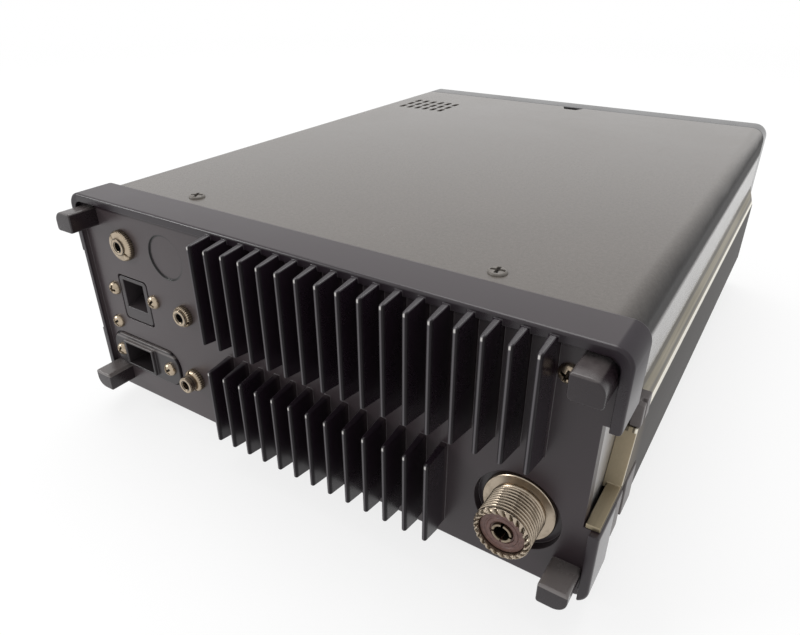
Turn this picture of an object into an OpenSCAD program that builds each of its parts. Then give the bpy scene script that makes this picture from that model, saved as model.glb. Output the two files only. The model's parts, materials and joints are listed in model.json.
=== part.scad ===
// Compact amateur radio transceiver with a finned rear casting.
// Front towards -Y, fins towards +Y, +Z up, origin under the middle of the set.

/* [Body] */
// Width over the rear casting
body_w = 195; // [190:1:205]
// Height of the rear casting
body_h = 79; // [77:1:90]
// Length of the covers between casting and bezel
cover_l = 220.5; // [200:0.5:250]
// Corner radius of the casting
body_r = 5; // [3:0.5:7]

/* [Rear casting] */
// Depth of the ring that frames the rear panel
ring_depth = 15; // [12:0.5:20]
// Thickness of the ring's rear lip
lip_t = 2.8; // [2:0.1:3.4]
// Thickness of the ring's forward wall
ring_wall = 4.6; // [4:0.1:5.5]
// How far the panel lies inside the rear lip
panel_recess = 2; // [1:0.1:3]
// Thickness of the rear panel
panel_t = 4; // [3:0.1:5]
// Lower edge of the side notches above the casting's underside
side_cut_base = 25; // [24:0.5:27]
// Upper edge of the side notches below the casting's top
side_cut_drop = 22; // [20:0.5:24]
// Depth of the right side notch; the left one goes right through the ring
shallow_cut = 1.2; // [0.8:0.1:2]
// Length of the lugs under the covers
lug_l = 12; // [10:0.5:16]
// Width of the lugs under the covers
lug_w = 14; // [10:0.5:20]
// Thickness of the lugs under the covers
lug_t = 3.5; // [3:0.1:5]
// Distance of the lugs from the middle
lug_x = 56; // [45:1:65]

/* [Fins] */
// Fin tips behind the rear lip
fin_reach = 8.2; // [6:0.1:12]
// Spacing of the fins
fin_pitch = 6.75; // [5.5:0.05:8]
// Fin thickness at the tip
fin_tip_t = 1.5; // [1.2:0.1:2]
// Fin thickness at the panel
fin_root_t = 2.3; // [2.1:0.1:3]
// Width kept free of fins for the sockets
socket_zone = 69; // [68:0.5:75]
// Width kept free of fins at the other edge
fin_margin = 17.4; // [16:0.1:22]
// Height of the lower fins
low_fin_h = 29.9; // [24:0.1:32]
// Lower fins above the underside of the casting
low_fin_base = 4.3; // [3.5:0.1:6]
// Gap between the two rows of fins
fin_gap = 8.1; // [5:0.1:10]
// Upper fins below the top of the casting
fin_drop = 1; // [0.5:0.1:2]
// Slope of the fins' ends, over their reach
fin_end_slope = 1.3; // [0.5:0.1:2]

/* [Covers] */
// Sheet thickness of the covers
cover_t = 1.2; // [0.8:0.1:1.4]
// Covers set in from the casting's sides
cover_inset = 3.2; // [2.9:0.1:3.4]
// Covers set in from the casting's top and underside
cover_step = 0.5; // [0.3:0.1:1]
// Bend radius of the covers and corner radius of the bezel
cover_r = 6; // [5:0.5:10]
// Length of a speaker slot
slot_l = 6.4; // [4:0.1:7]
// Width of a speaker slot
slot_w = 2.2; // [1.5:0.1:2.6]
// Spacing of the speaker slots across
slot_pitch_x = 4.7; // [4:0.1:6]
// Spacing of the speaker slots along the set
slot_pitch_y = 8; // [7.5:0.1:10]
// Speaker slots across
slot_cols = 6; // [4:1:6]
// Speaker slots along the set
slot_rows = 3; // [2:1:3]
// Speaker set in from the side
speaker_inset = 25.5; // [25:0.5:40]
// Speaker behind the front edge of the cover
speaker_back = 37; // [34:0.5:60]
// Width of the notch in the cover's front edge
notch_w = 12; // [8:0.5:18]
// Depth of the notch in the cover's front edge
notch_l = 6; // [4:0.5:9]

/* [Side rails] */
// Bottom cover's sides, up to here above the casting's underside
rail_base = 23.5; // [21:0.5:24]
// Top cover's sides, down to here below the casting's top
rail_drop = 28; // [26:0.5:30]
// Rails' faces set in from the casting's sides
rail_set = 0.5; // [0.3:0.1:1]
// Depth of the rails, from the chassis to their faces
rail_d = 5; // [4.6:0.1:6]
// Wall of the rails
rail_t = 1.5; // [1:0.1:1.8]
// Width of the rail's upper slope
rail_slope_w = 3; // [2:0.1:3.5]
// Height of the rail's upper slope
rail_slope = 9; // [6:0.5:10]
// Rail's skirt over the side of the bottom cover
rail_skirt = 11.5; // [8:0.5:13]
// Length of the lower clips at the rails' rear ends
clip_l = 19; // [14:0.5:22]
// Length of the upper clips
upper_clip_l = 8.2; // [6:0.1:10]
// Height of the upper clips
upper_clip_h = 7; // [5:0.1:8]

/* [Feet] */
// Height of the rubber feet, from the floor to the casting's underside
foot_h = 6; // [4:0.5:9]
// Radius of the rubber feet
foot_r = 9; // [6:0.5:12]
// Rubber feet set in from the covers' ends
foot_inset = 26; // [22:0.5:40]
// Rubber feet set in from the covers' sides
foot_side = 18; // [14:0.5:30]
// Width of the corner feet behind the panel
rear_foot_w = 8.2; // [6:0.1:9]
// Height of the corner feet behind the panel
rear_foot_h = 6.4; // [5:0.1:8]
// Corner feet set in from the casting's sides
rear_foot_x = 3.1; // [3:0.1:4]
// Corner feet set in from the casting's top and underside
rear_foot_z = 4; // [3.6:0.1:6]
// Radius of a corner foot's outer corner
rear_foot_r = 3.8; // [2:0.1:4]

/* [Antenna socket] */
// Outside diameter of the antenna thread
ant_d = 15.9; // [15:0.05:17]
// Antenna socket set in from the side
ant_inset = 22.5; // [21:0.5:26]
// Antenna socket above the casting's underside
ant_z = 21; // [19:0.5:26]
// Diameter of the clearance round the antenna flange
ant_hole_d = 25; // [24:0.5:27]
// Diameter of the antenna flange
ant_flange_d = 21; // [19:0.5:23]
// Depth of the seat of the antenna flange
ant_seat = 2.6; // [2:0.1:2.9]
// Thickness of the antenna flange
ant_flange_t = 1.5; // [1:0.1:1.8]
// Wall of the antenna thread
ant_wall = 1.5; // [1:0.1:2]
// Bore of the antenna's centre contact
ant_bore_d = 4; // [3.8:0.05:4.2]

/* [Rear sockets] */
// Middle of the outer sockets, set in from the side
sock_inset = 23; // [22:0.5:24]
// Middle of the inner jacks, set in from the side
jack_inset = 49; // [46:0.5:52]
// Speaker jack below the casting's top
jack_drop = 15.6; // [15:0.1:18]
// Key jack below the casting's top
key_drop = 35.5; // [33:0.5:38]
// Power socket's flange above the corner foot
power_clear = 0.4; // [0.3:0.1:2]
// Standby jack above the casting's underside
standby_z = 17.5; // [16:0.5:20]
// Accessory socket below the casting's top
acc_drop = 37.2; // [36.5:0.1:38]
// Width of the accessory socket
acc_w = 14.6; // [13:0.1:16]
// Height of the accessory socket
acc_h = 17; // [15:0.1:18]
// Width of the power socket's flange
power_w = 36; // [32:0.5:37]
// Height of the power socket's flange
power_h = 14; // [13:0.5:15]
// Diameter of a phone plug's bore
plug_d = 3.6; // [3.5:0.05:3.8]
// Diameter of the jacks' threaded bushings
jack_d = 6; // [5.5:0.1:6.5]
// Diameter of the large jack nut
big_nut_d = 11; // [9:0.5:12]
// Diameter of the small jack nut
small_nut_d = 7.6; // [7.2:0.1:9]
// Thickness of the jack nuts
jack_nut_t = 2.2; // [1.5:0.1:3]
// Standby jack's bushing proud of its nut
standby_reach = 3; // [2:0.1:5]
// Diameter of the round blanked place beside the jacks
blank_d = 15.6; // [12:0.2:16]
// Diameter of the panel screws' heads
panel_head_d = 5.2; // [4.5:0.1:5.6]

/* [Front panel] */
// Depth of the front bezel
bezel_depth = 11.5; // [10:0.5:16]
// Wall of the front bezel
bezel_wall = 5; // [4.2:0.1:6]
// How far the control face lies inside the bezel
face_recess = 2; // [1:0.1:3]
// Thickness of the control face
face_t = 3; // [2.5:0.1:3.5]
// Width of the display window
window_w = 64; // [50:1:66]
// Height of the display window
window_h = 20; // [16:0.5:22]
// Thickness of the display window
window_t = 1.8; // [1.2:0.1:2]
// Middle of the display window, left of the middle
window_x = 32; // [30:0.5:36]
// Middle of the display window below the top
window_drop = 18; // [17:0.5:20]

/* [Tuning knob] */
// Diameter of the tuning knob
tune_d = 46; // [40:1:48]
// Height of the tuning knob
tune_h = 24; // [20:0.5:28]
// Tuning knob right of the middle
tune_x = 28; // [26:0.5:30]
// Tuning knob above the casting's underside
tune_z = 32; // [31:0.5:34]
// Thickness of the tuning knob's rubber grip
grip_t = 1.6; // [1:0.1:2.2]
// Flutes round the grip
grip_flutes = 36; // [24:1:40]
// Diameter of the tuning shaft
tune_shaft_d = 6; // [5:0.1:7]
// Diameter of the finger dimple
dimple_d = 13; // [10:0.5:14]

/* [Small knobs] */
// Diameter of the volume knob
volume_d = 14; // [12:0.5:15]
// Height of the volume knob above its squelch ring
volume_h = 10; // [8:0.5:13]
// Diameter of the squelch ring
squelch_d = 21; // [19:0.5:24]
// Height of the squelch ring
squelch_h = 7; // [6.5:0.5:9]
// Diameter of the mode knob
mode_d = 20; // [17:0.5:22]
// Diameter of the fine tuning knob
rit_d = 15; // [13:0.5:17]
// Height of the mode and fine tuning knobs
knob_h = 14; // [11:0.5:16]
// Diameter of the small shafts
shaft_d = 4; // [3.5:0.1:4.5]
// Diameter of the squelch tube
tube_d = 6; // [5.6:0.1:6.4]
// Diameter of the controls behind the face
pot_d = 16; // [14:0.5:18]
// Depth of the controls behind the face
pot_l = 9; // [7:0.5:12]
// Right hand knobs set in from the side
knob_inset = 21; // [19:0.5:22]
// Volume knob left of the middle
volume_x = 10; // [9:0.5:12]

/* [Keys] */
// Width of a key
key_w = 8; // [6:0.1:8.6]
// Height of a key
key_h = 5; // [4:0.1:6]
// Spacing of the keys
key_pitch = 10.4; // [9.8:0.1:10.6]
// Row of keys below the top
key_row_drop = 38; // [36:0.5:40]
// Keys proud of the control face
key_proud = 1.8; // [1.2:0.1:2.4]
// Travel of a key
key_travel = 0.8; // [0.5:0.1:1]
// Width of the power button
power_button_w = 13; // [10:0.5:15]
// Height of the power button
power_button_h = 8; // [6:0.5:10]
// Height of a key switch
switch_h = 4.3; // [3.5:0.1:4.6]
// Side of a key switch
switch_w = 6; // [5:0.1:6.5]

/* [Front sockets] */
// Thread diameter of the microphone socket
mic_d = 16; // [15:0.1:17]
// Microphone socket proud of the control face
mic_reach = 6; // [5:0.5:8]
// Depth of the microphone socket's well
mic_well = 10.5; // [10:0.1:12]
// Free length of the microphone pins
mic_pin_l = 5; // [4:0.1:5.5]
// Bore of the headphone jack
phones_bore_d = 6.4; // [6.35:0.01:6.5]
// Diameter of the headphone jack's bushing
phones_d = 9; // [8.6:0.1:10]
// Front sockets above the casting's underside
front_sock_z = 17; // [16:0.5:18]

/* [Inside] */
// Sheet thickness of the chassis
chassis_t = 1.5; // [1:0.1:2]
// Thickness of the boards
board_t = 1.6; // [1:0.1:2]
// Radius of the board spacers
spacer_r = 3; // [2.5:0.1:4]
// Length of the spacers under the chassis plate
low_spacer_l = 14; // [10:0.5:17]
// Length of the spacers on the chassis plate
high_spacer_l = 8; // [6:0.5:10]
// Boards set in from the chassis sides
board_margin = 3; // [2:0.5:8]
// Radius of the speaker
speaker_r = 18; // [16:0.5:20]
// Depth of the speaker
speaker_depth = 12; // [10:0.5:14]
// Height of the shield cans
can_h = 11; // [8:0.5:12]

/* [Fits] */
// Radial clearance of a turning shaft
run_fit = 0.05; // [0.02:0.01:0.08]
// Clearance of a key in its hole
key_fit = 0.3; // [0.2:0.05:0.4]
// Clearance of a fixed piece in its hole
seat_fit = 0.1; // [0.05:0.01:0.2]
// Clearance of the rails and clips over the covers
trim_gap = 0.2; // [0.1:0.05:0.3]
// Gap seen round the accessory socket and the power flange
rim_gap = 0.5; // [0.3:0.05:0.8]
// Radius of the screws
screw_r = 1.5; // [1.2:0.1:1.7]

/* [Hidden] */
$fn = 64;

// Small overlap that makes joined shapes one solid
weld = 0.2;
// Cuts run this far past a face
past = 1;

// Planes across the set, from the rear to the front
knob_gap = 0.8;
knob_reach = knob_gap + tune_h - face_recess;
total_l = fin_reach + ring_depth + cover_l + bezel_depth + knob_reach;
y_tip = total_l / 2;
y_ring = y_tip - fin_reach;
y_panel = y_ring - panel_recess;
y_inner = y_panel - panel_t;
y_joint = y_ring - ring_depth;
y_bezel = y_joint - cover_l;
y_rim = y_bezel - bezel_depth;
y_face = y_rim + face_recess;
y_back = y_face + face_t;

// Planes from side to side and from the floor up
half_w = body_w / 2;
z0 = foot_h;
z1 = foot_h + body_h;
z_mid = z0 + body_h / 2;
cover_half = half_w - cover_inset;
cover_h = body_h - 2 * cover_step;
cover_top = z1 - cover_step;
cover_low = z0 + cover_step;
cut_z0 = z0 + side_cut_base;
cut_z1 = z1 - side_cut_drop;
chassis_z = (cut_z0 + cut_z1) / 2;

// Rails: inner face, outer face, skirt, and the levels of the bend and the lower edge
rail_z0 = z0 + rail_base;
rail_z1 = z1 - rail_drop;
rail_face = half_w - rail_set;
rail_x = rail_face - rail_d;
skirt_x = cover_half + trim_gap;
rail_top = rail_z1 - seat_fit;
rail_bend = rail_top - rail_slope;
rail_low = rail_z0 - rail_skirt;
rail_bevel = 1.6;
neck_end = 3.8;
neck_lean = 6.8;

// Fins
fin_x0 = half_w - socket_zone;
high_fins = floor((body_w - socket_zone - fin_margin) / fin_pitch) + 1;
ant_side_gap = 9.3;
ant_zone = ant_inset + ant_hole_d / 2 + ant_side_gap;
low_fins = floor((body_w - socket_zone - ant_zone) / fin_pitch) + 1;
fin_end_x = fin_x0 - (high_fins - 1) * fin_pitch - fin_root_t / 2;
rear_foot_in = -half_w + rear_foot_x + rear_foot_w;
low_fin_top = z0 + low_fin_base + low_fin_h;

// Rear sockets
power_z = z0 + rear_foot_z + rear_foot_h + power_clear + power_h / 2;
sock_x = half_w - sock_inset;
jack_x = half_w - jack_inset;
speaker_jack_z = z1 - jack_drop;
key_jack_z = z1 - key_drop;
acc_z = z1 - acc_drop;
blank_x = jack_x + 5;
blank_depth = 0.5;
ant_x = -half_w + ant_inset;
ant_tail = 6;
ant_lip = 1.2;
ant_nut_t = 3;
contact_wall = 0.9;
contact_tail = 12;
contact_depth = 16.6;
jack_block = 9;
jack_block_l = 14;
jack_proud = 0.5;
acc_depth = 13;
acc_r = 1.4;
acc_screw_x = acc_w / 2 + 3.3;
acc_screw_rise = 2.5;
ground_x = sock_x + 13;
ground_rise = 12;
corner_screw_drop = 11;
power_depth = 14;
power_cell_w = 14;
power_cell_h = 8.8;
power_cell_x = 2.4;
power_wall = 1.5;
collar_wall = 1;
collar_reach = 1.3;
flange_t = 1.4;
flange_sink = 0.6;
flange_r = power_h * 0.42;
y_flange_face = y_panel - flange_sink + flange_t;
flange_screw_x = power_w / 2 - 4.6;
pin_r = 1;
power_pin_back = 5;

// Front panel, inside the outline of the covers
face_inset = bezel_wall - 2;
face_r = cover_r - face_inset;
post_inset = bezel_wall + 4;
board_inset = bezel_wall + 1.5;
control_x = cover_half - knob_inset;
mode_z = z0 + 24;
rit_z = z1 - 21;
volume_z = z0 + front_sock_z + 3;
front_z = z0 + front_sock_z;
tuning_z = z0 + tune_z;
mic_x = -cover_half + 20;
phones_x = mic_x + 27;
window_z = z1 - window_drop;
window_r = 2;
window_ledge = 1.5;
power_button_x = -(cover_half - face_inset + window_x + window_w / 2) / 2;
power_button_z = window_z;
key_count = 6;
key_z = z1 - key_row_drop;
key_x0 = -window_x - (key_count - 1) / 2 * key_pitch;
key_flange = 0.8;
key_lip = 0.9;
key_stem = 0.5;
key_r = 0.8;
key_stem_r = 1.5;
y_flange = y_back + key_fit;
y_board = y_flange + key_flange + key_stem + key_travel + key_fit + switch_h;
bushing_r = 4.5;
bushing_proud = 3.6;
encoder_r = 13;
encoder_l = 16;
can_gap = 0.5;
can_floor = 1.5;
phones_block = 12;
phones_block_l = 22;
phones_floor = 2;
phones_proud = 2.5;
phones_nut_t = 1.6;
phones_nut_w = 2;
mic_wall = 1.2;
mic_flange_t = 1.5;
mic_pin_pcd = 8.4;
mic_ring_pins = 7;
insert_t = 4;

// Inside
chassis_half = rail_x;
chassis_rise = 6;
y_chassis_front = max(y_board + board_t + 6, y_back + encoder_l + 1);
board_half = chassis_half - chassis_t - board_margin;
main_y0 = y_chassis_front + 16;
main_y1 = y_inner - 22;
rf_y1 = y_inner - 40;
main_z = chassis_z - chassis_t / 2 - low_spacer_l - board_t;
rf_z = chassis_z + chassis_t / 2 + high_spacer_l;
spacer_inset = 6;
can_count = 3;
can_w = 28;
can_l = 44;
can_t = 1;
can_pitch = 34;
can_step = 12;
amp_w = 58;
amp_t = 8;
amp_h = 18;
amp_x = 10;
amp_screw_inset = 5;
cable_w = 30;
cable_l = 18;
speaker_x = cover_half - speaker_inset;
speaker_y = y_bezel + speaker_back;
speaker_rim = 2;
screw_head_r = 2.75;
screw_head_h = 0.9;
lug_screw_y = y_joint - lug_l / 2;

// Knobs
knob_edge = 1;
knob_cap = 2.5;
shaft_gap = 0.5;
tune_dish = 1.2;
cup_r = bushing_r + 0.6;
rib_r = 0.8;
rib_out = 0.35;
rib_foot = 2.5;
marker_w = 1;
marker_t = 0.6;
grip_end = 4;
flute_r = 1;
y_knob = y_face - knob_gap;
y_insert = y_face - mic_reach + mic_well;

// Rectangle with its four corners rounded
module round_rect(w, h, r) {
  x = w / 2;
  y = h / 2;
  polygon([[x - r, y], [-x + r, y], [-x, y - r], [-x, -y + r],
    [-x + r, -y], [x - r, -y], [x, -y + r], [x, y - r]]);
  for (sx = [-1, 1], sy = [-1, 1])
    translate([sx * (x - r), sy * (y - r)]) circle(r);
}

// Carries an outline in X and Z along the set, from y down by length l
module along(y, l) {
  translate([0, y, 0]) rotate([90, 0, 0]) linear_extrude(l) children();
}

// Rounded block of the casting's outline, inset all round
module body_block(y, l, inset, r) {
  along(y, l) translate([0, z_mid]) round_rect(body_w - 2 * inset, body_h - 2 * inset, r);
}

// Rounded block of the covers' outline, inset all round
module cover_block(y, l, inset, r) {
  along(y, l) translate([0, z_mid]) round_rect(2 * (cover_half - inset), cover_h - 2 * inset, r);
}

// Round bar along the set, from y towards the front
module bar(x, z, y, l, r) {
  translate([x, y, z]) rotate([90, 0, 0]) cylinder(h = l, r = r);
}

// Slot with round ends, cut through a cover from above
module cover_slot(x, y, l, w, z, depth) {
  translate([x, y, z]) {
    translate([-w / 2, -l / 2 + w / 2, 0]) cube([w, l - w, depth]);
    for (s = [-1, 1]) translate([0, s * (l - w) / 2, 0]) cylinder(h = depth, d = w);
  }
}

// Plan of one fin: it narrows to a rounded tip
module fin_plan() {
  root = y_panel - weld;
  tip = y_tip - fin_tip_t / 2;
  polygon([[-fin_root_t / 2, root], [fin_root_t / 2, root], [fin_tip_t / 2, tip], [-fin_tip_t / 2, tip]]);
  translate([0, tip]) circle(d = fin_tip_t);
}

// A row of fins from z low to z high, with both ends sloping outwards to the panel
module fin_row(count, low, high) {
  intersection() {
    translate([0, 0, low]) linear_extrude(high - low)
      for (i = [0:count - 1]) translate([fin_x0 - i * fin_pitch, 0]) fin_plan();
    translate([-half_w, 0, 0]) rotate([90, 0, 90]) linear_extrude(body_w)
      polygon([[y_panel - past, low], [y_panel, low], [y_tip + past, low + fin_end_slope],
        [y_tip + past, high - fin_end_slope], [y_panel, high], [y_panel - past, high]]);
  }
}

// Lug that takes a cover's screw; side is 1 under the top cover and -1 over the bottom cover
module cover_lug(x, side) {
  face = side > 0 ? cover_top - cover_t - seat_fit : cover_low + cover_t + seat_fit;
  translate([x, 0, 0]) difference() {
    translate([-lug_w / 2, y_joint - lug_l, side > 0 ? face - lug_t : face])
      cube([lug_w, lug_l + ring_depth / 2, lug_t]);
    translate([0, lug_screw_y, face - lug_t - past])
      cylinder(h = 2 * (lug_t + past), r = screw_r + run_fit);
  }
}

module rear_casting() {
  color([0.17, 0.165, 0.175]) difference() {
    union() {
      difference() {
        body_block(y_ring, ring_depth, 0, body_r);
        body_block(y_ring + past, panel_recess + past, lip_t, body_r - 2);
        body_block(y_inner, ring_depth, ring_wall, body_r - 2);
      }
      fin_row(high_fins, low_fin_top + fin_gap, z1 - fin_drop);
      fin_row(low_fins, z0 + low_fin_base, low_fin_top);
      for (sx = [-1, 1], side = [-1, 1]) cover_lug(sx * lug_x, side);
    }
    // the panel runs down to the underside, between the side lips
    translate([-half_w + lip_t, y_panel, z0 - past])
      cube([body_w - 2 * lip_t, panel_recess + past, past + 2 * lip_t]);
    side_notch(-1, ring_wall + weld / 2);
    side_notch(1, shallow_cut);
    // antenna seat and its hole
    bar(ant_x, z0 + ant_z, y_panel + past, ant_seat + past, ant_hole_d / 2);
    bar(ant_x, z0 + ant_z, y_panel + past, panel_t + 2 * past, ant_d / 2 + seat_fit);
    // jack holes
    for (p = [[sock_x, speaker_jack_z], [jack_x, key_jack_z], [jack_x, z0 + standby_z]])
      bar(p[0], p[1], y_panel + past, panel_t + 2 * past, jack_d / 2 + seat_fit);
    // accessory and power sockets
    along(y_panel + past, panel_t + 2 * past) {
      translate([sock_x, acc_z]) round_rect(acc_w + 2 * rim_gap, acc_h + 2 * rim_gap, acc_r);
      translate([sock_x + power_cell_x, power_z]) square([power_cell_w + 2 * (power_wall + seat_fit),
        power_cell_h + 2 * (power_wall + seat_fit)], center = true);
    }
    along(y_panel + past, past + flange_sink) translate([sock_x, power_z])
      round_rect(power_w + 2 * rim_gap, power_h + 2 * rim_gap, flange_r + rim_gap);
    for (p = panel_screw_places()) bar(p[0], p[1], p[2], panel_t + past, screw_r + run_fit);
    // shallow round blank beside the jacks
    bar(blank_x, speaker_jack_z, y_panel + past, past + blank_depth, blank_d / 2);
  }
}

// Notch in the ring's left (-1) or right (1) side
module side_notch(side, depth) {
  translate([side * (half_w + (past - depth) / 2), y_ring - ring_depth / 2, chassis_z])
    cube([depth + past, ring_depth + 2 * past, cut_z1 - cut_z0], center = true);
}

// Screws on the panel: x, z and the face that the head sits on
function panel_screw_places() = [
  for (s = [-1, 1]) [sock_x + s * acc_screw_x, acc_z + acc_screw_rise, y_panel],
  for (s = [-1, 1]) [sock_x + s * flange_screw_x, power_z, y_flange_face],
  [ground_x, power_z + ground_rise, y_panel],
  [(fin_end_x + rear_foot_in) / 2, z1 - corner_screw_drop, y_panel]
];

// Half of the wrap-round covers, seen from the front, cut off above the level z
module cover_wrap(z) {
  difference() {
    translate([0, z_mid]) round_rect(2 * cover_half, cover_h, cover_r);
    translate([0, z_mid]) round_rect(2 * (cover_half - cover_t), cover_h - 2 * cover_t, cover_r - cover_t);
    translate([-half_w, z]) square([body_w, body_h]);
  }
}

// Round hole down through the covers
module cover_hole(x, y, z) {
  translate([x, y, z - past]) cylinder(h = cover_t + 2 * past, r = screw_r + seat_fit);
}

module top_cover() {
  slots_x = speaker_x - (slot_cols - 1) / 2 * slot_pitch_x;
  slots_y = speaker_y - (slot_rows - 1) / 2 * slot_pitch_y;
  under = cover_top - cover_t;
  color([0.36, 0.35, 0.34]) difference() {
    along(y_joint, cover_l) translate([0, 2 * z_mid]) mirror([0, 1]) cover_wrap(2 * z_mid - rail_z1);
    for (i = [0:slot_cols - 1], j = [0:slot_rows - 1])
      cover_slot(slots_x + i * slot_pitch_x, slots_y + j * slot_pitch_y, slot_l, slot_w, under - past,
        cover_t + 2 * past);
    translate([0, y_bezel, under - past]) linear_extrude(cover_t + 2 * past)
      polygon([[-notch_w / 2, -past], [notch_w / 2, -past], [notch_w / 4, notch_l], [-notch_w / 4, notch_l]]);
    for (s = [-1, 1]) cover_hole(s * lug_x, lug_screw_y, under);
  }
}

module bottom_cover() {
  color([0.3, 0.29, 0.285]) difference() {
    along(y_joint, cover_l) cover_wrap(rail_z0);
    for (s = [-1, 1]) cover_hole(s * lug_x, lug_screw_y, cover_low);
    for (p = foot_places()) cover_hole(p[0], p[1], cover_low);
  }
}

module front_bezel() {
  back_l = bezel_depth - face_recess - face_t;
  color([0.16, 0.155, 0.16]) difference() {
    union() {
      difference() {
        cover_block(y_bezel, bezel_depth, 0, cover_r);
        cover_block(y_face, face_recess + past, face_inset, face_r);
        cover_block(y_bezel + past, back_l + past, bezel_wall, face_r);
      }
      for (p = board_posts()) bar(p[0], p[1], y_board, y_board - y_back + weld, spacer_r);
    }
    // display opening with a ledge behind the window
    along(y_face + window_t + seat_fit, window_t + seat_fit + past) translate([-window_x, window_z])
      round_rect(window_w + 2 * seat_fit, window_h + 2 * seat_fit, window_r);
    along(y_back + past, face_t + 2 * past) translate([-window_x, window_z])
      square([window_w - 2 * window_ledge, window_h - 2 * window_ledge], center = true);
    // keys and power button
    for (i = [0:key_count - 1]) key_hole(key_x0 + i * key_pitch, key_z, key_w, key_h);
    key_hole(power_button_x, power_button_z, power_button_w, power_button_h);
    // bushings of the turning controls and the sockets
    for (p = [[tune_x, tuning_z], [control_x, mode_z], [control_x, rit_z], [-volume_x, volume_z]])
      face_hole(p[0], p[1], bushing_r);
    face_hole(mic_x, front_z, mic_d / 2);
    face_hole(phones_x, front_z, phones_d / 2);
  }
}

// Round hole through the control face for a fixed piece of radius r
module face_hole(x, z, r) {
  bar(x, z, y_back + past, face_t + 2 * past, r + seat_fit);
}

// Posts behind the control face that carry the control board
function board_posts() = [
  for (sx = [-1, 1], sz = [-1, 1]) [sx * (cover_half - post_inset), z_mid + sz * (cover_h / 2 - post_inset)]
];

module key_hole(x, z, w, h) {
  along(y_back + past, face_t + 2 * past) translate([x, z])
    square([w + 2 * key_fit, h + 2 * key_fit], center = true);
}

// Section of a rail: its upper slope leads to the outer face, its skirt laps over the bottom cover
module rail_section() {
  foot = rail_z0 + seat_fit;
  polygon([[rail_x, rail_top], [rail_face - rail_slope_w, rail_top], [rail_face, rail_bend],
    [rail_face, rail_low + rail_bevel], [rail_face - rail_bevel, rail_low], [skirt_x, rail_low],
    [skirt_x, foot], [rail_x, foot]]);
}

// Right hand rail: the full section with its back hollowed, a neck between the clips with a leaning end,
// and a ledge that goes on to y = reach
module side_rail(reach) {
  rear = y_joint - clip_l - trim_gap;
  front = y_bezel + seat_fit;
  ledge_x = half_w - ring_wall + trim_gap;
  low = cut_z0 + seat_fit;
  end = y_joint - neck_end;
  difference() {
    along(rear, rear - front) rail_section();
    translate([rail_x - past, front + rail_t, low + rail_t])
      cube([rail_d + past - rail_t, rear - front - 2 * rail_t, rail_bend - low - rail_t]);
  }
  translate([rail_x, 0, 0]) rotate([90, 0, 90]) linear_extrude(rail_d)
    polygon([[rear - weld, low], [end, low], [end - neck_lean, rail_bend], [rear - weld, rail_bend]]);
  translate([ledge_x, rear, low]) cube([rail_face - ledge_x, reach - rear, rail_t]);
}

module left_rail() {
  color([0.5, 0.45, 0.32]) mirror([1, 0, 0]) side_rail(y_panel);
}

module right_rail() {
  color([0.5, 0.45, 0.32]) side_rail(y_joint - seat_fit);
}

// Right hand clip outside the covers, from the level z up by h, with a groove across it
module side_clip(z, l, h) {
  face = half_w - seat_fit;
  d = face - skirt_x;
  translate([skirt_x, y_joint - clip_l, z]) difference() {
    cube([d, l, h]);
    translate([d / 2, l / 2, -past]) cube([d, l / 5, h + 2 * past]);
  }
}

module rail_clips() {
  color([0.07, 0.07, 0.075]) for (side = [0, 1]) mirror([side, 0, 0]) {
    side_clip(rail_bend + trim_gap, upper_clip_l, upper_clip_h);
    side_clip(rail_low, clip_l - trim_gap, cut_z0 - trim_gap - rail_low);
  }
}

module chassis_frame() {
  l = y_inner - seat_fit - y_chassis_front;
  color([0.62, 0.6, 0.55]) difference() {
    along(y_inner - seat_fit, l) {
      for (s = [-1, 1]) translate([s * (chassis_half - chassis_t / 2), chassis_z])
        square([chassis_t, body_h - 2 * (ring_wall + chassis_rise / 2)], center = true);
      translate([0, chassis_z]) square([2 * chassis_half - chassis_t, chassis_t], center = true);
    }
    // cable ways through the plate
    for (s = [-1, 1]) translate([s * board_half * 0.55, main_y0 + cable_l / 2, chassis_z])
      cube([cable_w, cable_l, 3 * chassis_t], center = true);
    // room for the sockets and the amplifier at the rear
    translate([0, y_inner, chassis_z])
      cube([2 * (chassis_half - chassis_t), 2 * (jack_block_l + 4), 3 * chassis_t], center = true);
  }
}

// Spacer places on a board: half width w, from y0 to y1
function spacer_places(w, y0, y1) = [
  for (sx = [-1, 1], y = [y0 + spacer_inset, y1 - spacer_inset]) [sx * (w - spacer_inset), y]
];

module board(w, y0, y1, z) {
  difference() {
    translate([-w, y0, z]) cube([2 * w, y1 - y0, board_t]);
    for (p = spacer_places(w, y0, y1)) translate([p[0], p[1], z - past])
      cylinder(h = board_t + 2 * past, r = screw_r);
  }
}

module main_board() {
  color([0.2, 0.38, 0.22]) board(board_half, main_y0, main_y1, main_z);
}

module rf_board() {
  color([0.22, 0.4, 0.24]) board(board_half, main_y0, rf_y1, rf_z);
}

module board_spacers() {
  color([0.75, 0.7, 0.55]) {
    for (p = spacer_places(board_half, main_y0, main_y1))
      translate([p[0], p[1], main_z + board_t]) cylinder(h = low_spacer_l, r = spacer_r);
    for (p = spacer_places(board_half, main_y0, rf_y1))
      translate([p[0], p[1], rf_z - high_spacer_l]) cylinder(h = high_spacer_l, r = spacer_r);
  }
}

module shield_cans() {
  color([0.72, 0.73, 0.74]) for (i = [0:can_count - 1])
    translate([-board_half + can_step + i * can_pitch, rf_y1 - 1.6 * can_l + i * can_step, rf_z + board_t])
      difference() {
        cube([can_w, can_l, can_h]);
        translate([can_t, can_t, -past]) cube([can_w - 2 * can_t, can_l - 2 * can_t, can_h + past - can_t]);
      }
}

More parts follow.
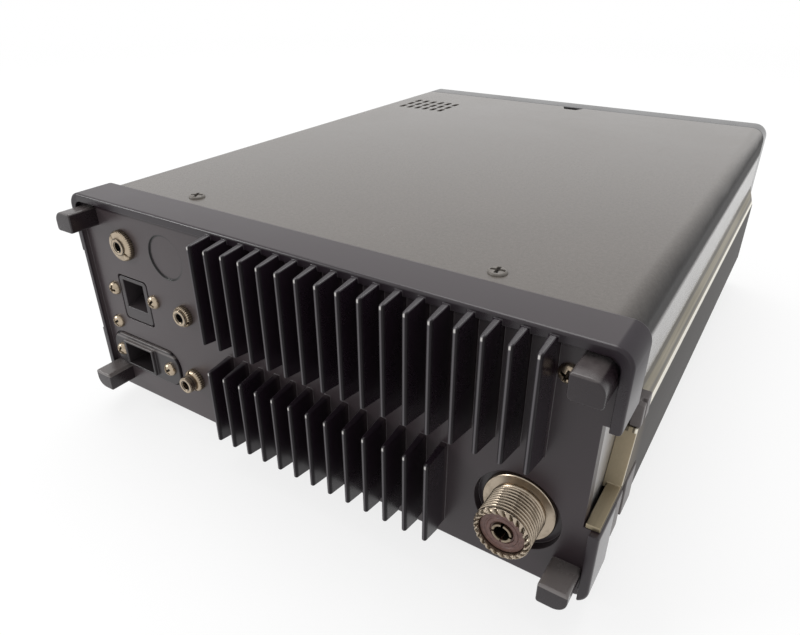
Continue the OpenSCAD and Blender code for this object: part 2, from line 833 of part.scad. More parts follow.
module control_board() {
  w = cover_half - board_inset;
  color([0.2, 0.36, 0.22]) difference() {
    translate([-w, y_board, cover_low + board_inset]) cube([2 * w, board_t, cover_h - 2 * board_inset]);
    board_hole(tune_x, tuning_z, encoder_r);
    for (p = [[control_x, mode_z], [control_x, rit_z], [-volume_x, volume_z]])
      board_hole(p[0], p[1], pot_d / 2);
    board_hole(mic_x, front_z, mic_d / 2);
    translate([phones_x, y_board, front_z])
      cube([phones_block + 2 * can_gap, 4 * board_t, phones_block + 2 * can_gap], center = true);
  }
}

// Round hole through the control board, clear of a piece of radius r
module board_hole(x, z, r) {
  bar(x, z, y_board + board_t + past, board_t + 2 * past, r + can_gap);
}

module power_amplifier() {
  place = [-amp_w / 2 - amp_x, y_inner - amp_t, chassis_z + chassis_t];
  color([0.15, 0.15, 0.16]) translate(place) difference() {
    cube([amp_w, amp_t, amp_h]);
    for (x = [amp_screw_inset, amp_w - amp_screw_inset])
      bar(x, amp_h / 2, amp_t + past, amp_t + 2 * past, screw_r);
  }
}

module speaker() {
  top = cover_top - cover_t;
  color([0.12, 0.12, 0.13]) translate([speaker_x, speaker_y, top]) rotate_extrude()
    polygon([[speaker_r - speaker_rim, 0], [speaker_r, 0], [speaker_r, -speaker_rim],
      [speaker_r * 0.6, -speaker_depth * 0.7], [speaker_r * 0.6, -speaker_depth], [0, -speaker_depth],
      [0, -speaker_depth * 0.6], [speaker_r * 0.3, -speaker_depth * 0.6],
      [speaker_r - 1.2 * speaker_rim, -0.7 * speaker_rim]]);
}

// Foot at one corner of the panel; its outer corner is the round one
module rear_foot(sx, sz) {
  w = rear_foot_w;
  h = rear_foot_h;
  r = rear_foot_r;
  x = sx * (half_w - rear_foot_x - w);
  z = sz > 0 ? z1 - rear_foot_z - h : z0 + rear_foot_z + h;
  along(y_tip, y_tip - y_panel) translate([x, z]) mirror([sx < 0 ? 1 : 0, 0])
    mirror([0, sz < 0 ? 1 : 0]) {
    polygon([[0, 0], [w, 0], [w, h - r], [w - r, h], [0, h]]);
    translate([w - r, h - r]) circle(r);
  }
}

module rear_feet() {
  color([0.13, 0.13, 0.14]) for (sx = [-1, 1], sz = [-1, 1]) rear_foot(sx, sz);
}

function foot_places() = [
  for (sx = [-1, 1], y = [y_bezel + foot_inset, y_joint - foot_inset]) [sx * (cover_half - foot_side), y]
];

module rubber_feet() {
  bore = screw_r + seat_fit;
  well = screw_head_r + 1.2;
  color([0.08, 0.08, 0.08]) for (p = foot_places()) translate([p[0], p[1], 0]) rotate_extrude()
    polygon([[bore, cover_low], [foot_r, cover_low], [foot_r - 1.2, 0], [well, 0], [well, cover_low / 2],
      [bore, cover_low / 2]]);
}

// Pan head with its shank, head upwards from the face at z = 0
module pan_screw(shank) {
  r = screw_head_r;
  h = screw_head_h;
  rotate_extrude()
    polygon([[0, h], [r * 0.6, h], [r, h * 0.45], [r, 0], [screw_r, 0], [screw_r, -shank], [0, -shank]]);
}

module cover_screws() {
  color([0.1, 0.1, 0.1]) {
    for (s = [-1, 1]) {
      translate([s * lug_x, lug_screw_y, cover_top]) pan_screw(cover_t + lug_t);
      translate([s * lug_x, lug_screw_y, cover_low]) mirror([0, 0, 1]) pan_screw(cover_t + lug_t);
    }
    for (p = foot_places()) translate([p[0], p[1], cover_low / 2]) mirror([0, 0, 1])
      pan_screw(cover_low / 2 + cover_t + past);
  }
}

module panel_screws() {
  r = panel_head_d / 2;
  color([0.72, 0.62, 0.42]) for (p = panel_screw_places())
    translate([p[0], p[2], p[1]]) rotate([-90, 0, 0]) rotate_extrude()
      polygon([[0, 2], [r * 0.55, 1.75], [r * 0.9, 1], [r, 0.3], [r, 0], [screw_r, 0],
        [screw_r, -panel_t], [0, -panel_t]]);
}

module antenna_socket() {
  seat = y_panel - ant_seat;
  l = y_tip - y_inner + ant_tail;
  color([0.78, 0.74, 0.66]) translate([ant_x, 0, z0 + ant_z]) difference() {
    union() {
      bar(0, 0, y_tip, l, ant_d / 2);
      bar(0, 0, seat + ant_flange_t, ant_flange_t, ant_flange_d / 2);
    }
    bar(0, 0, y_tip + past, l + 2 * past, ant_d / 2 - ant_wall);
  }
}

module antenna_insulator() {
  l = y_tip - y_inner + ant_tail - 2 * ant_lip;
  color([0.35, 0.2, 0.15]) translate([ant_x, 0, z0 + ant_z]) difference() {
    bar(0, 0, y_tip - ant_lip, l, ant_d / 2 - ant_wall - run_fit);
    bar(0, 0, y_tip + past, l + 2 * (ant_lip + past), ant_bore_d / 2 + contact_wall + run_fit);
  }
}

module antenna_contact() {
  color([0.7, 0.62, 0.45]) translate([ant_x, 0, z0 + ant_z]) difference() {
    bar(0, 0, y_tip - ant_lip / 2, y_tip - y_inner + contact_tail, ant_bore_d / 2 + contact_wall);
    bar(0, 0, y_tip + past, past + ant_lip / 2 + contact_depth, ant_bore_d / 2);
  }
}

module antenna_nut() {
  color([0.75, 0.72, 0.65]) translate([ant_x, y_inner, z0 + ant_z]) rotate([90, 0, 0]) difference() {
    cylinder(h = ant_nut_t, r = ant_flange_d / 2, $fn = 6);
    translate([0, 0, -past]) cylinder(h = ant_nut_t + 2 * past, r = ant_d / 2 + run_fit);
  }
}

// Panel jack: threaded bushing through the panel and a block behind it
module phone_jack(x, z, reach) {
  difference() {
    union() {
      bar(x, z, y_panel + reach, panel_t + reach + weld, jack_d / 2);
      translate([x - jack_block / 2, y_inner - jack_block_l, z - jack_block / 2])
        cube([jack_block, jack_block_l, jack_block]);
    }
    bar(x, z, y_panel + reach + past, panel_t + reach + jack_block_l - 2 + past, plug_d / 2);
  }
}

module speaker_jack() {
  color([0.12, 0.12, 0.12]) phone_jack(sock_x, speaker_jack_z, jack_nut_t + jack_proud);
}

module key_jack() {
  color([0.12, 0.12, 0.12]) phone_jack(jack_x, key_jack_z, jack_nut_t + jack_proud);
}

module standby_jack() {
  color([0.12, 0.12, 0.12]) phone_jack(jack_x, z0 + standby_z, jack_nut_t + standby_reach);
}

// Round nut with a bevelled edge, on the panel
module jack_nut(x, z, d) {
  translate([x, y_panel, z]) rotate([-90, 0, 0]) rotate_extrude()
    polygon([[jack_d / 2 + run_fit, 0], [d / 2, 0], [d / 2, jack_nut_t * 0.6], [d / 2 - 0.8, jack_nut_t],
      [jack_d / 2 + run_fit, jack_nut_t]]);
}

module jack_nuts() {
  color([0.76, 0.68, 0.5]) {
    jack_nut(sock_x, speaker_jack_z, big_nut_d);
    jack_nut(jack_x, key_jack_z, small_nut_d);
    jack_nut(jack_x, z0 + standby_z, small_nut_d + 0.8);
  }
}

// Accessory socket: a moulded box with an open cell above and a sloping lip below
module accessory_socket() {
  cell_w = acc_w - 4;
  cell_h = acc_h * 0.52;
  cell_low = acc_h / 2 - acc_r - cell_h;
  lip_low = cell_low - acc_h * 0.12;
  color([0.1, 0.1, 0.11]) translate([sock_x, 0, acc_z]) difference() {
    along(y_panel, panel_t + acc_depth) round_rect(acc_w, acc_h, acc_r);
    along(y_panel + past, acc_depth + past)
      translate([0, cell_low + cell_h / 2]) square([cell_w, cell_h], center = true);
    // sloping lip
    translate([-cell_w / 2, 0, 0]) rotate([90, 0, 90]) linear_extrude(cell_w)
      polygon([[y_panel + past, cell_low + weld], [y_panel - acc_depth / 2, cell_low + weld],
        [y_panel, lip_low], [y_panel + past, lip_low]]);
  }
}

// Power socket: an oval flange let into the panel, with a collar round a square cell
module power_socket() {
  color([0.09, 0.09, 0.1]) difference() {
    union() {
      along(y_flange_face, flange_t) translate([sock_x, power_z]) round_rect(power_w, power_h, flange_r);
      power_cell(y_flange_face + collar_reach, collar_reach + weld, collar_wall);
      power_cell(y_panel - flange_sink + weld, power_depth + weld, power_wall);
    }
    power_cell(y_flange_face + collar_reach + past, power_depth + collar_reach + past, 0);
    for (s = [-1, 1])
      bar(sock_x + s * flange_screw_x, power_z, y_flange_face + past, flange_t + 2 * past, screw_r + run_fit);
  }
}

// Square block along the power socket's cell, with a wall round it
module power_cell(y, l, wall) {
  along(y, l) translate([sock_x + power_cell_x, power_z])
    square([power_cell_w + 2 * wall, power_cell_h + 2 * wall], center = true);
}

module power_pins() {
  tip = y_panel - power_pin_back;
  l = tip - y_flange_face + power_depth;
  color([0.85, 0.83, 0.78]) for (sx = [-1, 1])
    bar(sock_x + power_cell_x + sx * power_cell_w / 4, power_z, tip, l, pin_r);
}

module display_window() {
  color([0.06, 0.07, 0.08]) along(y_face + window_t, window_t) translate([-window_x, window_z])
    round_rect(window_w, window_h, window_r);
}

module display_module() {
  w = window_w - 4 / 3 * 2 * window_ledge;
  h = window_h - 4 / 3 * 2 * window_ledge;
  color([0.1, 0.16, 0.16]) along(y_board - seat_fit, y_board - y_back - 2 * seat_fit)
    translate([-window_x, window_z]) square([w, h], center = true);
}

// Turning control behind the face: a round can, a bushing and a bore for its shaft
module turning_control(x, z, can_r, can_l, bore_d) {
  difference() {
    union() {
      bar(x, z, y_back + can_l, can_l, can_r);
      bar(x, z, y_back + weld, face_t + bushing_proud + weld, bushing_r);
    }
    bar(x, z, y_back + can_l - can_floor, can_l + face_t + bushing_proud + past, bore_d / 2 + run_fit);
  }
}

module tuning_encoder() {
  color([0.5, 0.5, 0.52]) turning_control(tune_x, tuning_z, encoder_r, encoder_l, tune_shaft_d);
}

module volume_control() {
  color([0.5, 0.5, 0.52]) turning_control(-volume_x, volume_z, pot_d / 2, pot_l, tube_d);
}

module rit_control() {
  color([0.5, 0.5, 0.52]) turning_control(control_x, rit_z, pot_d / 2, pot_l, shaft_d);
}

module mode_switch() {
  color([0.5, 0.5, 0.52]) turning_control(control_x, mode_z, pot_d / 2, pot_l, shaft_d);
}

// Shaft from the floor of its control to this reach inside its knob
module knob_shaft(x, z, d, can_l, reach) {
  rear = y_back + can_l - can_floor - past;
  color([0.8, 0.8, 0.8]) bar(x, z, rear, rear - y_knob + reach, d / 2);
}

module tuning_shaft() {
  knob_shaft(tune_x, tuning_z, tune_shaft_d, encoder_l, tune_h - knob_cap - shaft_gap - tune_dish);
}

module rit_shaft() {
  knob_shaft(control_x, rit_z, shaft_d, pot_l, knob_h - knob_cap - shaft_gap);
}

module mode_shaft() {
  knob_shaft(control_x, mode_z, shaft_d, pot_l, knob_h - knob_cap - shaft_gap);
}

module squelch_tube() {
  rear = y_back + pot_l;
  color([0.8, 0.8, 0.8]) difference() {
    knob_shaft(-volume_x, volume_z, tube_d, pot_l, squelch_h);
    bar(-volume_x, volume_z, rear, rear - y_knob + squelch_h + past, shaft_d / 2 + run_fit);
  }
}

module volume_shaft() {
  reach = squelch_h + knob_gap + volume_h - knob_cap - shaft_gap;
  knob_shaft(-volume_x, volume_z, shaft_d, pot_l, reach);
}

// Revolved knob on its axis, rear edge at y; the profile is given from the rear
module knob_turn(x, z, y) {
  translate([x, y, z]) rotate([90, 0, 0]) rotate_extrude() children();
}

// Grooves between the ribs round a knob of radius r, from its foot to its front
module rib_grooves(x, z, y, r, h, ribs) {
  for (i = [0:ribs - 1]) translate([x, y - rib_foot, z]) rotate([90, 0, 0]) rotate(i * 360 / ribs)
    translate([r + rib_out, 0, 0]) cylinder(h = h, r = rib_r, $fn = 16);
}

// Groove of the marker on a knob's front, from near the middle to the upper edge
module marker_groove(x, z, y, r) {
  translate([x - marker_w / 2, y - past, z + r * 0.3]) cube([marker_w, marker_t + past, r]);
}

module tuning_knob() {
  outer = tune_d / 2;
  waist = outer - grip_t;
  bore = tune_shaft_d / 2 + run_fit;
  cup = bushing_r + 2.5;
  cup_h = bushing_proud + 1.4;
  top = tune_h - tune_dish;
  color([0.12, 0.12, 0.13]) difference() {
    knob_turn(tune_x, tuning_z, y_knob) polygon([[cup, 0], [outer, 0], [outer, grip_end - 1],
      [waist, grip_end], [waist, tune_h - grip_end], [outer - 0.6, tune_h - grip_end + 1],
      [waist, tune_h - 0.8], [waist - 1.4, tune_h], [waist - 4, tune_h], [waist - 5, top], [0, top],
      [0, top - knob_cap], [bore, top - knob_cap], [bore, cup_h], [cup, cup_h]]);
    // finger dimple
    translate([tune_x + tune_d * 0.22, y_knob - tune_h - dimple_d * 0.3, tuning_z + tune_d * 0.12])
      sphere(d = dimple_d);
  }
}

module tuning_grip() {
  l = tune_h - 2 * (grip_end + run_fit);
  color([0.06, 0.06, 0.06]) translate([tune_x, y_knob - grip_end - run_fit, tuning_z]) rotate([90, 0, 0])
    difference() {
      cylinder(h = l, r = tune_d / 2);
      translate([0, 0, -past]) cylinder(h = l + 2 * past, r = tune_d / 2 - grip_t + run_fit);
      for (i = [0:grip_flutes - 1]) rotate(i * 360 / grip_flutes)
        translate([tune_d / 2 + rib_out, 0, -past]) cylinder(h = l + 2 * past, r = flute_r, $fn = 16);
    }
}

// Skirted knob with a cup over its bushing, a ribbed side and a marker groove
module ribbed_knob(x, z, y, r, h, ribs) {
  bore = shaft_d / 2 + run_fit;
  cup_h = bushing_proud - knob_gap + can_gap;
  color([0.12, 0.12, 0.13]) difference() {
    knob_turn(x, z, y) polygon([[cup_r, 0], [r, 0], [r, h - knob_edge], [r - knob_edge, h], [0, h],
      [0, h - knob_cap], [bore, h - knob_cap], [bore, cup_h], [cup_r, cup_h]]);
    rib_grooves(x, z, y, r, h, ribs);
    marker_groove(x, z, y - h, r);
  }
}

module rit_knob() {
  ribbed_knob(control_x, rit_z, y_knob, rit_d / 2, knob_h, 18);
}

module mode_knob() {
  ribbed_knob(control_x, mode_z, y_knob, mode_d / 2, knob_h, 24);
}

module squelch_ring() {
  r = squelch_d / 2;
  bore = tube_d / 2 + run_fit;
  color([0.12, 0.12, 0.13]) difference() {
    knob_turn(-volume_x, volume_z, y_knob) polygon([[cup_r, 0], [r, 0], [r, squelch_h - knob_edge],
      [r - knob_edge, squelch_h], [bore, squelch_h], [bore, bushing_proud], [cup_r, bushing_proud]]);
    rib_grooves(-volume_x, volume_z, y_knob, r, squelch_h, 24);
  }
}

module volume_knob() {
  y = y_knob - squelch_h - knob_gap;
  r = volume_d / 2;
  bore = shaft_d / 2 + run_fit;
  color([0.12, 0.12, 0.13]) difference() {
    knob_turn(-volume_x, volume_z, y) polygon([[bore, 0], [r, 0], [r, volume_h - knob_edge],
      [r - knob_edge, volume_h], [0, volume_h], [0, volume_h - knob_cap], [bore, volume_h - knob_cap]]);
    rib_grooves(-volume_x, volume_z, y, r, volume_h, 18);
    marker_groove(-volume_x, volume_z, y - volume_h, r);
  }
}

// Key cap with its flange behind the face and a stem towards its switch
module key_cap(x, z, w, h) {
  y_rear = y_flange + key_flange;
  color([0.3, 0.3, 0.31]) {
    along(y_flange, y_flange - y_face + key_proud) translate([x, z]) round_rect(w, h, key_r);
    along(y_rear, key_flange) translate([x, z]) square([w + 2 * key_lip, h + 2 * key_lip], center = true);
    bar(x, z, y_rear + key_stem, key_stem + weld, key_stem_r);
  }
}

module row_key(i) {
  key_cap(key_x0 + i * key_pitch, key_z, key_w, key_h);
}

module power_button() {
  key_cap(power_button_x, power_button_z, power_button_w, power_button_h);
}

module key_switch(x, z) {
  translate([x - switch_w / 2, y_board - switch_h, z - switch_w / 2]) cube([switch_w, switch_h, switch_w]);
}

module key_switches() {
  color([0.1, 0.1, 0.1]) {
    for (i = [0:key_count - 1]) key_switch(key_x0 + i * key_pitch, key_z);
    key_switch(power_button_x, power_button_z);
  }
}

module microphone_socket() {
  r = mic_d / 2;
  rear = y_back + mic_flange_t;
  l = mic_reach + face_t + mic_flange_t;
  color([0.78, 0.76, 0.72]) difference() {
    union() {
      bar(mic_x, front_z, rear, l, r);
      bar(mic_x, front_z, rear, mic_flange_t, r + mic_flange_t);
    }
    bar(mic_x, front_z, rear + past, l + 2 * past, r - mic_wall);
  }
}

module microphone_insert() {
  color([0.1, 0.1, 0.1]) difference() {
    bar(mic_x, front_z, y_insert + insert_t, insert_t, mic_d / 2 - mic_wall - run_fit);
    for (p = mic_pins()) bar(p[0], p[1], y_insert + insert_t + past, insert_t + 2 * past, pin_r + run_fit);
  }
}

// Places of the pins: one in the middle, the others in a ring
function mic_pins() = [
  [mic_x, front_z],
  for (i = [0:mic_ring_pins - 1]) let (a = 90 + i * 360 / mic_ring_pins)
    [mic_x + mic_pin_pcd / 2 * cos(a), front_z + mic_pin_pcd / 2 * sin(a)]
];

module microphone_pins() {
  tail = insert_t + 2;
  color([0.85, 0.8, 0.65]) for (p = mic_pins()) bar(p[0], p[1], y_insert + tail, tail + mic_pin_l, pin_r);
}

module phones_jack() {
  bore_l = phones_block_l - phones_floor + face_t + phones_proud + past;
  color([0.12, 0.12, 0.12]) difference() {
    union() {
      bar(phones_x, front_z, y_back + weld, face_t + phones_proud + weld, phones_d / 2);
      bar(phones_x, front_z, y_face, phones_nut_t, phones_d / 2 + phones_nut_w);
      translate([phones_x - phones_block / 2, y_back, front_z - phones_block / 2])
        cube([phones_block, phones_block_l, phones_block]);
    }
    bar(phones_x, front_z, y_back + phones_block_l - phones_floor, bore_l, phones_bore_d / 2);
  }
}

rear_casting();
top_cover();
bottom_cover();
front_bezel();
left_rail();
right_rail();
rail_clips();
chassis_frame();
main_board();
rf_board();
control_board();
board_spacers();
shield_cans();
power_amplifier();
speaker();
rear_feet();
rubber_feet();
cover_screws();
panel_screws();
antenna_socket();
antenna_insulator();
antenna_contact();
antenna_nut();
speaker_jack();
key_jack();
standby_jack();
jack_nuts();
accessory_socket();
power_socket();
power_pins();
display_window();
display_module();
tuning_encoder();
tuning_shaft();
tuning_knob();
tuning_grip();
volume_control();
volume_shaft();
volume_knob();
squelch_tube();
squelch_ring();
rit_control();
rit_shaft();
rit_knob();
mode_switch();
mode_shaft();
mode_knob();
power_button();
row_key(0);  // vfo_key
row_key(1);  // memory_key
row_key(2);  // scan_key
row_key(3);  // blanker_key
row_key(4);  // call_key
row_key(5);  // lock_key
key_switches();
microphone_socket();
microphone_insert();
microphone_pins();
phones_jack();
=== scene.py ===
# %% [markdown]
# # A compact radio transceiver, seen from its finned rear
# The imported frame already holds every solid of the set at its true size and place.
# This lesson dresses that frame: it rounds the edges of the castings and sheets,
# turns the small metal pieces again with their threads, knurls and recesses, and
# gives each surface a finish that is worked out by shader nodes.
# Everything stays in metres and in the frame's own axes: front towards -Y, fins
# towards +Y, +Z up.

# %% Load the frame
import json
import math

import bmesh
import bpy
import numpy as np
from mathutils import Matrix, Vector


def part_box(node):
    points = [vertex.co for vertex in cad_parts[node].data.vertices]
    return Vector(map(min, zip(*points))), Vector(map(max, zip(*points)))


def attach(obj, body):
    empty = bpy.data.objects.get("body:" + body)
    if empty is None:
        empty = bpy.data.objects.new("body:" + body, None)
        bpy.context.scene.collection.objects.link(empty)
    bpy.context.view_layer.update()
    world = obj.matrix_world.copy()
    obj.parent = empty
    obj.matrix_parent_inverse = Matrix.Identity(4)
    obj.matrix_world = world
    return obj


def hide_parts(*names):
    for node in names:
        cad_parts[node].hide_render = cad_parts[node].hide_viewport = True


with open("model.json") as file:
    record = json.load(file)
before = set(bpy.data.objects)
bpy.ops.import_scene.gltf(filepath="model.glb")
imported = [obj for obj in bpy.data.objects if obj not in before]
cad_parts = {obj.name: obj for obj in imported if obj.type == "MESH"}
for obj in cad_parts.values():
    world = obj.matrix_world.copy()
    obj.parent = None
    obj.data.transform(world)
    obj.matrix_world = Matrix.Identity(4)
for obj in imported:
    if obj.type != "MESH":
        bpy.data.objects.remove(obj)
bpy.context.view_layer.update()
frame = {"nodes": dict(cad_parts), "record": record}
MM = 0.001
record = frame["record"]
slot_of = {row["node"]: row["material_slot"] for row in record["subparts"]}
rides_on = {n: b for b, nodes in record["behaviour"]["bodies"].items() for n in nodes}


def read(rows, key, width, kind=float):
    """One property of all the rows of a mesh, as an array with this many columns."""
    flat = np.empty(len(rows) * width, kind)
    rows.foreach_get(key, flat)
    return flat.reshape(-1, width)


def box_mm(node):
    """Low and high corner of a node's box, in mm."""
    return [np.array(corner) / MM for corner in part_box(node)]


# %% [markdown]
# ## Where the camera stands
# The picture was taken by hand from behind the set, a little above it and close
# enough that the fins spread out in perspective. A camera is placed by three
# facts: where it stands, which way it looks and how long its lens is. They are
# set as numbers, and not by eye.

# %% Camera
EYE = Vector((-0.1174, 0.2520, 0.1559))
LOOKING = Vector((0.4729, -0.7357, -0.4848))
SENSOR_MM = 36.0
LENS_MM = 29.28
NEAREST = 0.01
lens = bpy.data.cameras.new("camera")
lens.sensor_width = SENSOR_MM
lens.lens = LENS_MM
lens.clip_start = NEAREST
camera = bpy.data.objects.new("camera", lens)
camera.location = EYE
camera.rotation_mode = "QUATERNION"
camera.rotation_quaternion = LOOKING.to_track_quat("-Z", "Y")
bpy.context.scene.collection.objects.link(camera)
bpy.context.scene.camera = camera
bpy.context.scene.view_settings.view_transform = "Standard"
print("camera at", [round(v, 4) for v in EYE], "lens", lens.lens)

# %% [markdown]
# ## Writing shaders as sums
# A shader tree is easier to read as arithmetic than as a list of links. A small
# class wraps one output socket, and its signs add Math nodes: `1 - mask * 0.3`
# makes two of them. Every other kind of node comes from one method that takes the
# node's type, its settings and what goes into its sockets.

# %% A socket that can be calculated with
class Wire:
    """One output socket; each arithmetic sign on it adds one Math node."""

    def __init__(self, tree, socket):
        self.tree = tree
        self.socket = socket

    def _sum(self, operation, first, second):
        made = self.tree.nodes.new("ShaderNodeMath")
        made.operation = operation
        for place, value in zip(made.inputs, (first, second)):
            if isinstance(value, Wire):
                self.tree.links.new(value.socket, place)
            else:
                place.default_value = value
        return Wire(self.tree, made.outputs[0])

    def __add__(self, other):
        return self._sum("ADD", self, other)

    def __sub__(self, other):
        return self._sum("SUBTRACT", self, other)

    def __rsub__(self, other):
        return self._sum("SUBTRACT", other, self)

    def __mul__(self, other):
        return self._sum("MULTIPLY", self, other)

    def __pow__(self, other):
        return self._sum("POWER", self, other)

    def __abs__(self):
        return self._sum("ABSOLUTE", self, 0.0)

    __radd__ = __add__
    __rmul__ = __mul__


class Tree:
    """A node tree with one method that makes any node in it."""

    def __init__(self, tree):
        self.tree = tree

    def node(self, kind, settings=None, sockets=None, output=0):
        """Makes a node: its settings first, then the values or links of its sockets."""
        made = self.tree.nodes.new("ShaderNode" + kind)
        for key, value in (settings or {}).items():
            setattr(made, key, value)
        for key, value in (sockets or {}).items():
            if isinstance(value, Wire):
                self.tree.links.new(value.socket, made.inputs[key])
            else:
                made.inputs[key].default_value = value
        return Wire(self.tree, made.outputs[output])

    def colours(self, low, high, amount):
        """Colour between two colours, by an amount from 0 to 1."""
        low, high = (c if isinstance(c, Wire) else (*c, 1) for c in (low, high))
        return self.node("Mix", {"data_type": "RGBA"}, {0: amount, 6: low, 7: high}, 2)


# %% A finish is one Principled shader
class Finish(Tree):
    """A material round one Principled shader, on the piece's own Object coordinates."""

    def __init__(self, name, **plain):
        self.material = bpy.data.materials.new(name)
        self.material.use_nodes = True
        super().__init__(self.material.node_tree)
        self.shader = self.tree.nodes["Principled BSDF"]
        for key, value in plain.items():
            self.shader.inputs[key.replace("_", " ")].default_value = value
        self.place = self.node("TexCoord", output="Object")
        apart = self.node("SeparateXYZ", {}, {"Vector": self.place}).socket.node
        self.x, self.y, self.z = (Wire(self.tree, end) for end in apart.outputs)

    def to(self, socket, wire):
        self.tree.links.new(wire.socket, self.shader.inputs[socket])

    def grain(self, per_metre, detail=3.0, rough=0.55, stretch=(1, 1, 1)):
        """Noise from 0 to 1 with about this many spots to the metre, stretched by axis."""
        where = self.node("Mapping", {}, {"Vector": self.place, "Scale": stretch})
        dials = {"Vector": where, "Scale": per_metre, "Detail": detail, "Roughness": rough}
        return self.node("TexNoise", {}, dials)

    def between(self, wire, low, high):
        """Spreads the part of a value from low to high over 0 to 1, and clips the rest."""
        ends = {"Value": wire, "From Min": low, "From Max": high}
        return self.node("MapRange", {"clamp": True}, ends)

    def band(self, wire, low, high, soft):
        """1 between two values and 0 outside them, with soft ends."""
        return self.between(wire, low - soft, low) * (1 - self.between(wire, high, high + soft))

    def relief(self, height, depth, strength=1.0):
        """Raises the surface by a height from 0 to 1 times a depth in metres."""
        ends = {"Height": height, "Distance": depth, "Strength": strength}
        self.to("Normal", self.node("Bump", {}, ends))

    def hollow(self):
        """The piece's own measure of how far a point lies in a recess, 0 where it has none."""
        return self.node("Attribute", {"attribute_name": "hollow"}, output="Fac")

    def over(self, cover, shader):
        """Puts a second shader over the first one, as far as a value from 0 to 1 says."""
        both = self.node("MixShader", {}, {0: cover, 2: shader})
        self.tree.links.new(self.shader.outputs[0], both.socket.node.inputs[1])
        self.tree.links.new(both.socket, self.tree.nodes["Material Output"].inputs["Surface"])

    def matt(self, colour, gloss, shine):
        """A second Principled shader with little shine, for painted shade and painted highlights."""
        ends = {"Base Color": colour, "Roughness": gloss, "Specular IOR Level": shine}
        return self.node("BsdfPrincipled", {}, ends)


# %% [markdown]
# ## Paint of the casting
# The rear casting has a satin near-black paint with a touch of purple, sprayed on a
# slightly uneven die casting. It is glossier and blacker on the fins, and the lower
# half of the ring's sides has a coat. The panel inside the ring is lighter with dust
# and painted light, most towards the sockets, and a dark rim of painted shade marks a
# round blank there. Paint is a dielectric, so its gloss comes from the shader, and only
# colour, roughness, coat and a shallow relief change over the surface.

# %% Paint of the casting
finishes = {}
PAINT = (0.0135, 0.0082, 0.0108), (0.027, 0.0168, 0.0215)
# tone of dust mixed with painted light on the panel
PAINT_DUST_AND_LIGHT = (0.066, 0.053, 0.056)
PAINT_FINS = (0.0115, 0.0070, 0.0110)
BLANK_RIM_SHADE = (0.002, 0.0016, 0.002)
PANEL_Y = 124 * MM, 130 * MM
UNDER_RING_Z = 80.3 * MM, 80.6 * MM
DUST_AND_LIGHT_X = -120 * MM, 80 * MM
FINS_Y = 129.8 * MM, 131 * MM
SIDES_X = 97.2 * MM, 97.45 * MM
SIDES_Z = 40 * MM, 50 * MM
BLANK_X = 53.5 * MM
BLANK_Y = 127 * MM, 130 * MM
BLANK_Z = float(sum(corner[2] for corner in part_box("speaker_jack")) / 2)
BLANK_R = 7.5 * MM, 7.95 * MM

paint = Finish("casting_paint", Specular_IOR_Level=0.47)
fine = paint.grain(2600, 4)
patch = paint.grain(34, 3)
fin = paint.between(paint.y, *FINS_Y)
panel = paint.band(paint.y, *PANEL_Y, 0.6 * MM) * (1 - paint.between(paint.z, *UNDER_RING_Z))
# dust and painted light: the panel grows lighter towards +x
dust_and_light = paint.between(paint.x, *DUST_AND_LIGHT_X) * panel
beside = paint.x - BLANK_X
above = paint.z - BLANK_Z
# painted shade: a dark ring along the edge of the round blank
rim_shade = paint.band((beside * beside + above * above) ** 0.5, *BLANK_R, 0.25 * MM)
rim_shade = rim_shade * paint.band(paint.y, *BLANK_Y, 0.4 * MM)
flat = paint.colours(*PAINT, fine * 0.55 + patch * 0.45)
flat = paint.colours(flat, PAINT_DUST_AND_LIGHT, dust_and_light * (fine * 0.4 + 0.5))
flat = paint.colours(flat, BLANK_RIM_SHADE, rim_shade)
paint.to("Base Color", paint.colours(flat, PAINT_FINS, fin))
paint.to("Roughness", paint.between(patch, 0.25, 0.75) * 0.08 + 0.26 + fine * 0.05 - fin * 0.04)
sides = paint.between(abs(paint.x), *SIDES_X) * (1 - paint.between(paint.z, *SIDES_Z))
paint.to("Coat Weight", sides * 0.35)
paint.relief(fine, 0.014 * MM, 0.5)
print("casting paint:", len(paint.tree.nodes), "shader nodes")

# %% [markdown]
# ## Painted light on the casting
# The crests of the fins carry painted highlights, a line down their middle and spots at
# their upper corners, over a dark matt that stands in for shade, and the upper corners of
# the ring are painted dull and dark as shade. The fins stand at one pitch, so the place
# across a fin is the fraction of $x$ over that pitch, less a half. Whole pitches added to
# $x$ keep it positive, and half a pitch brings a crest to nought.

# %% Painted light on the casting
# painted shade for the ring's upper corners
RING_CORNER_SHADE = (0.018, 0.0145, 0.018), (0.034, 0.028, 0.034)
# painted light on the fin crests: a dark tone for shade, a light one for the highlight line
CREST_PAINTED_LIGHT = (0.012, 0.010, 0.0118), (0.105, 0.098, 0.105)
# painted highlight at the upper corners of the crests
CREST_CORNER_HIGHLIGHT = (0.62, 0.60, 0.58)
CREST_Y = 137.7 * MM, 138.2 * MM
CREST_HIGHLIGHT_MM = 0.14, 0.34
FIN_TOPS_Z = (81.9 * MM, 82.5 * MM), (38.1 * MM, 38.7 * MM)
RING_CORNER_X = 92.7 * MM, 93.3 * MM
RING_CORNER_Y = 0.0, 130 * MM
RING_CORNER_Z = 68 * MM, 79 * MM
PITCHES_ADDED = 10.5

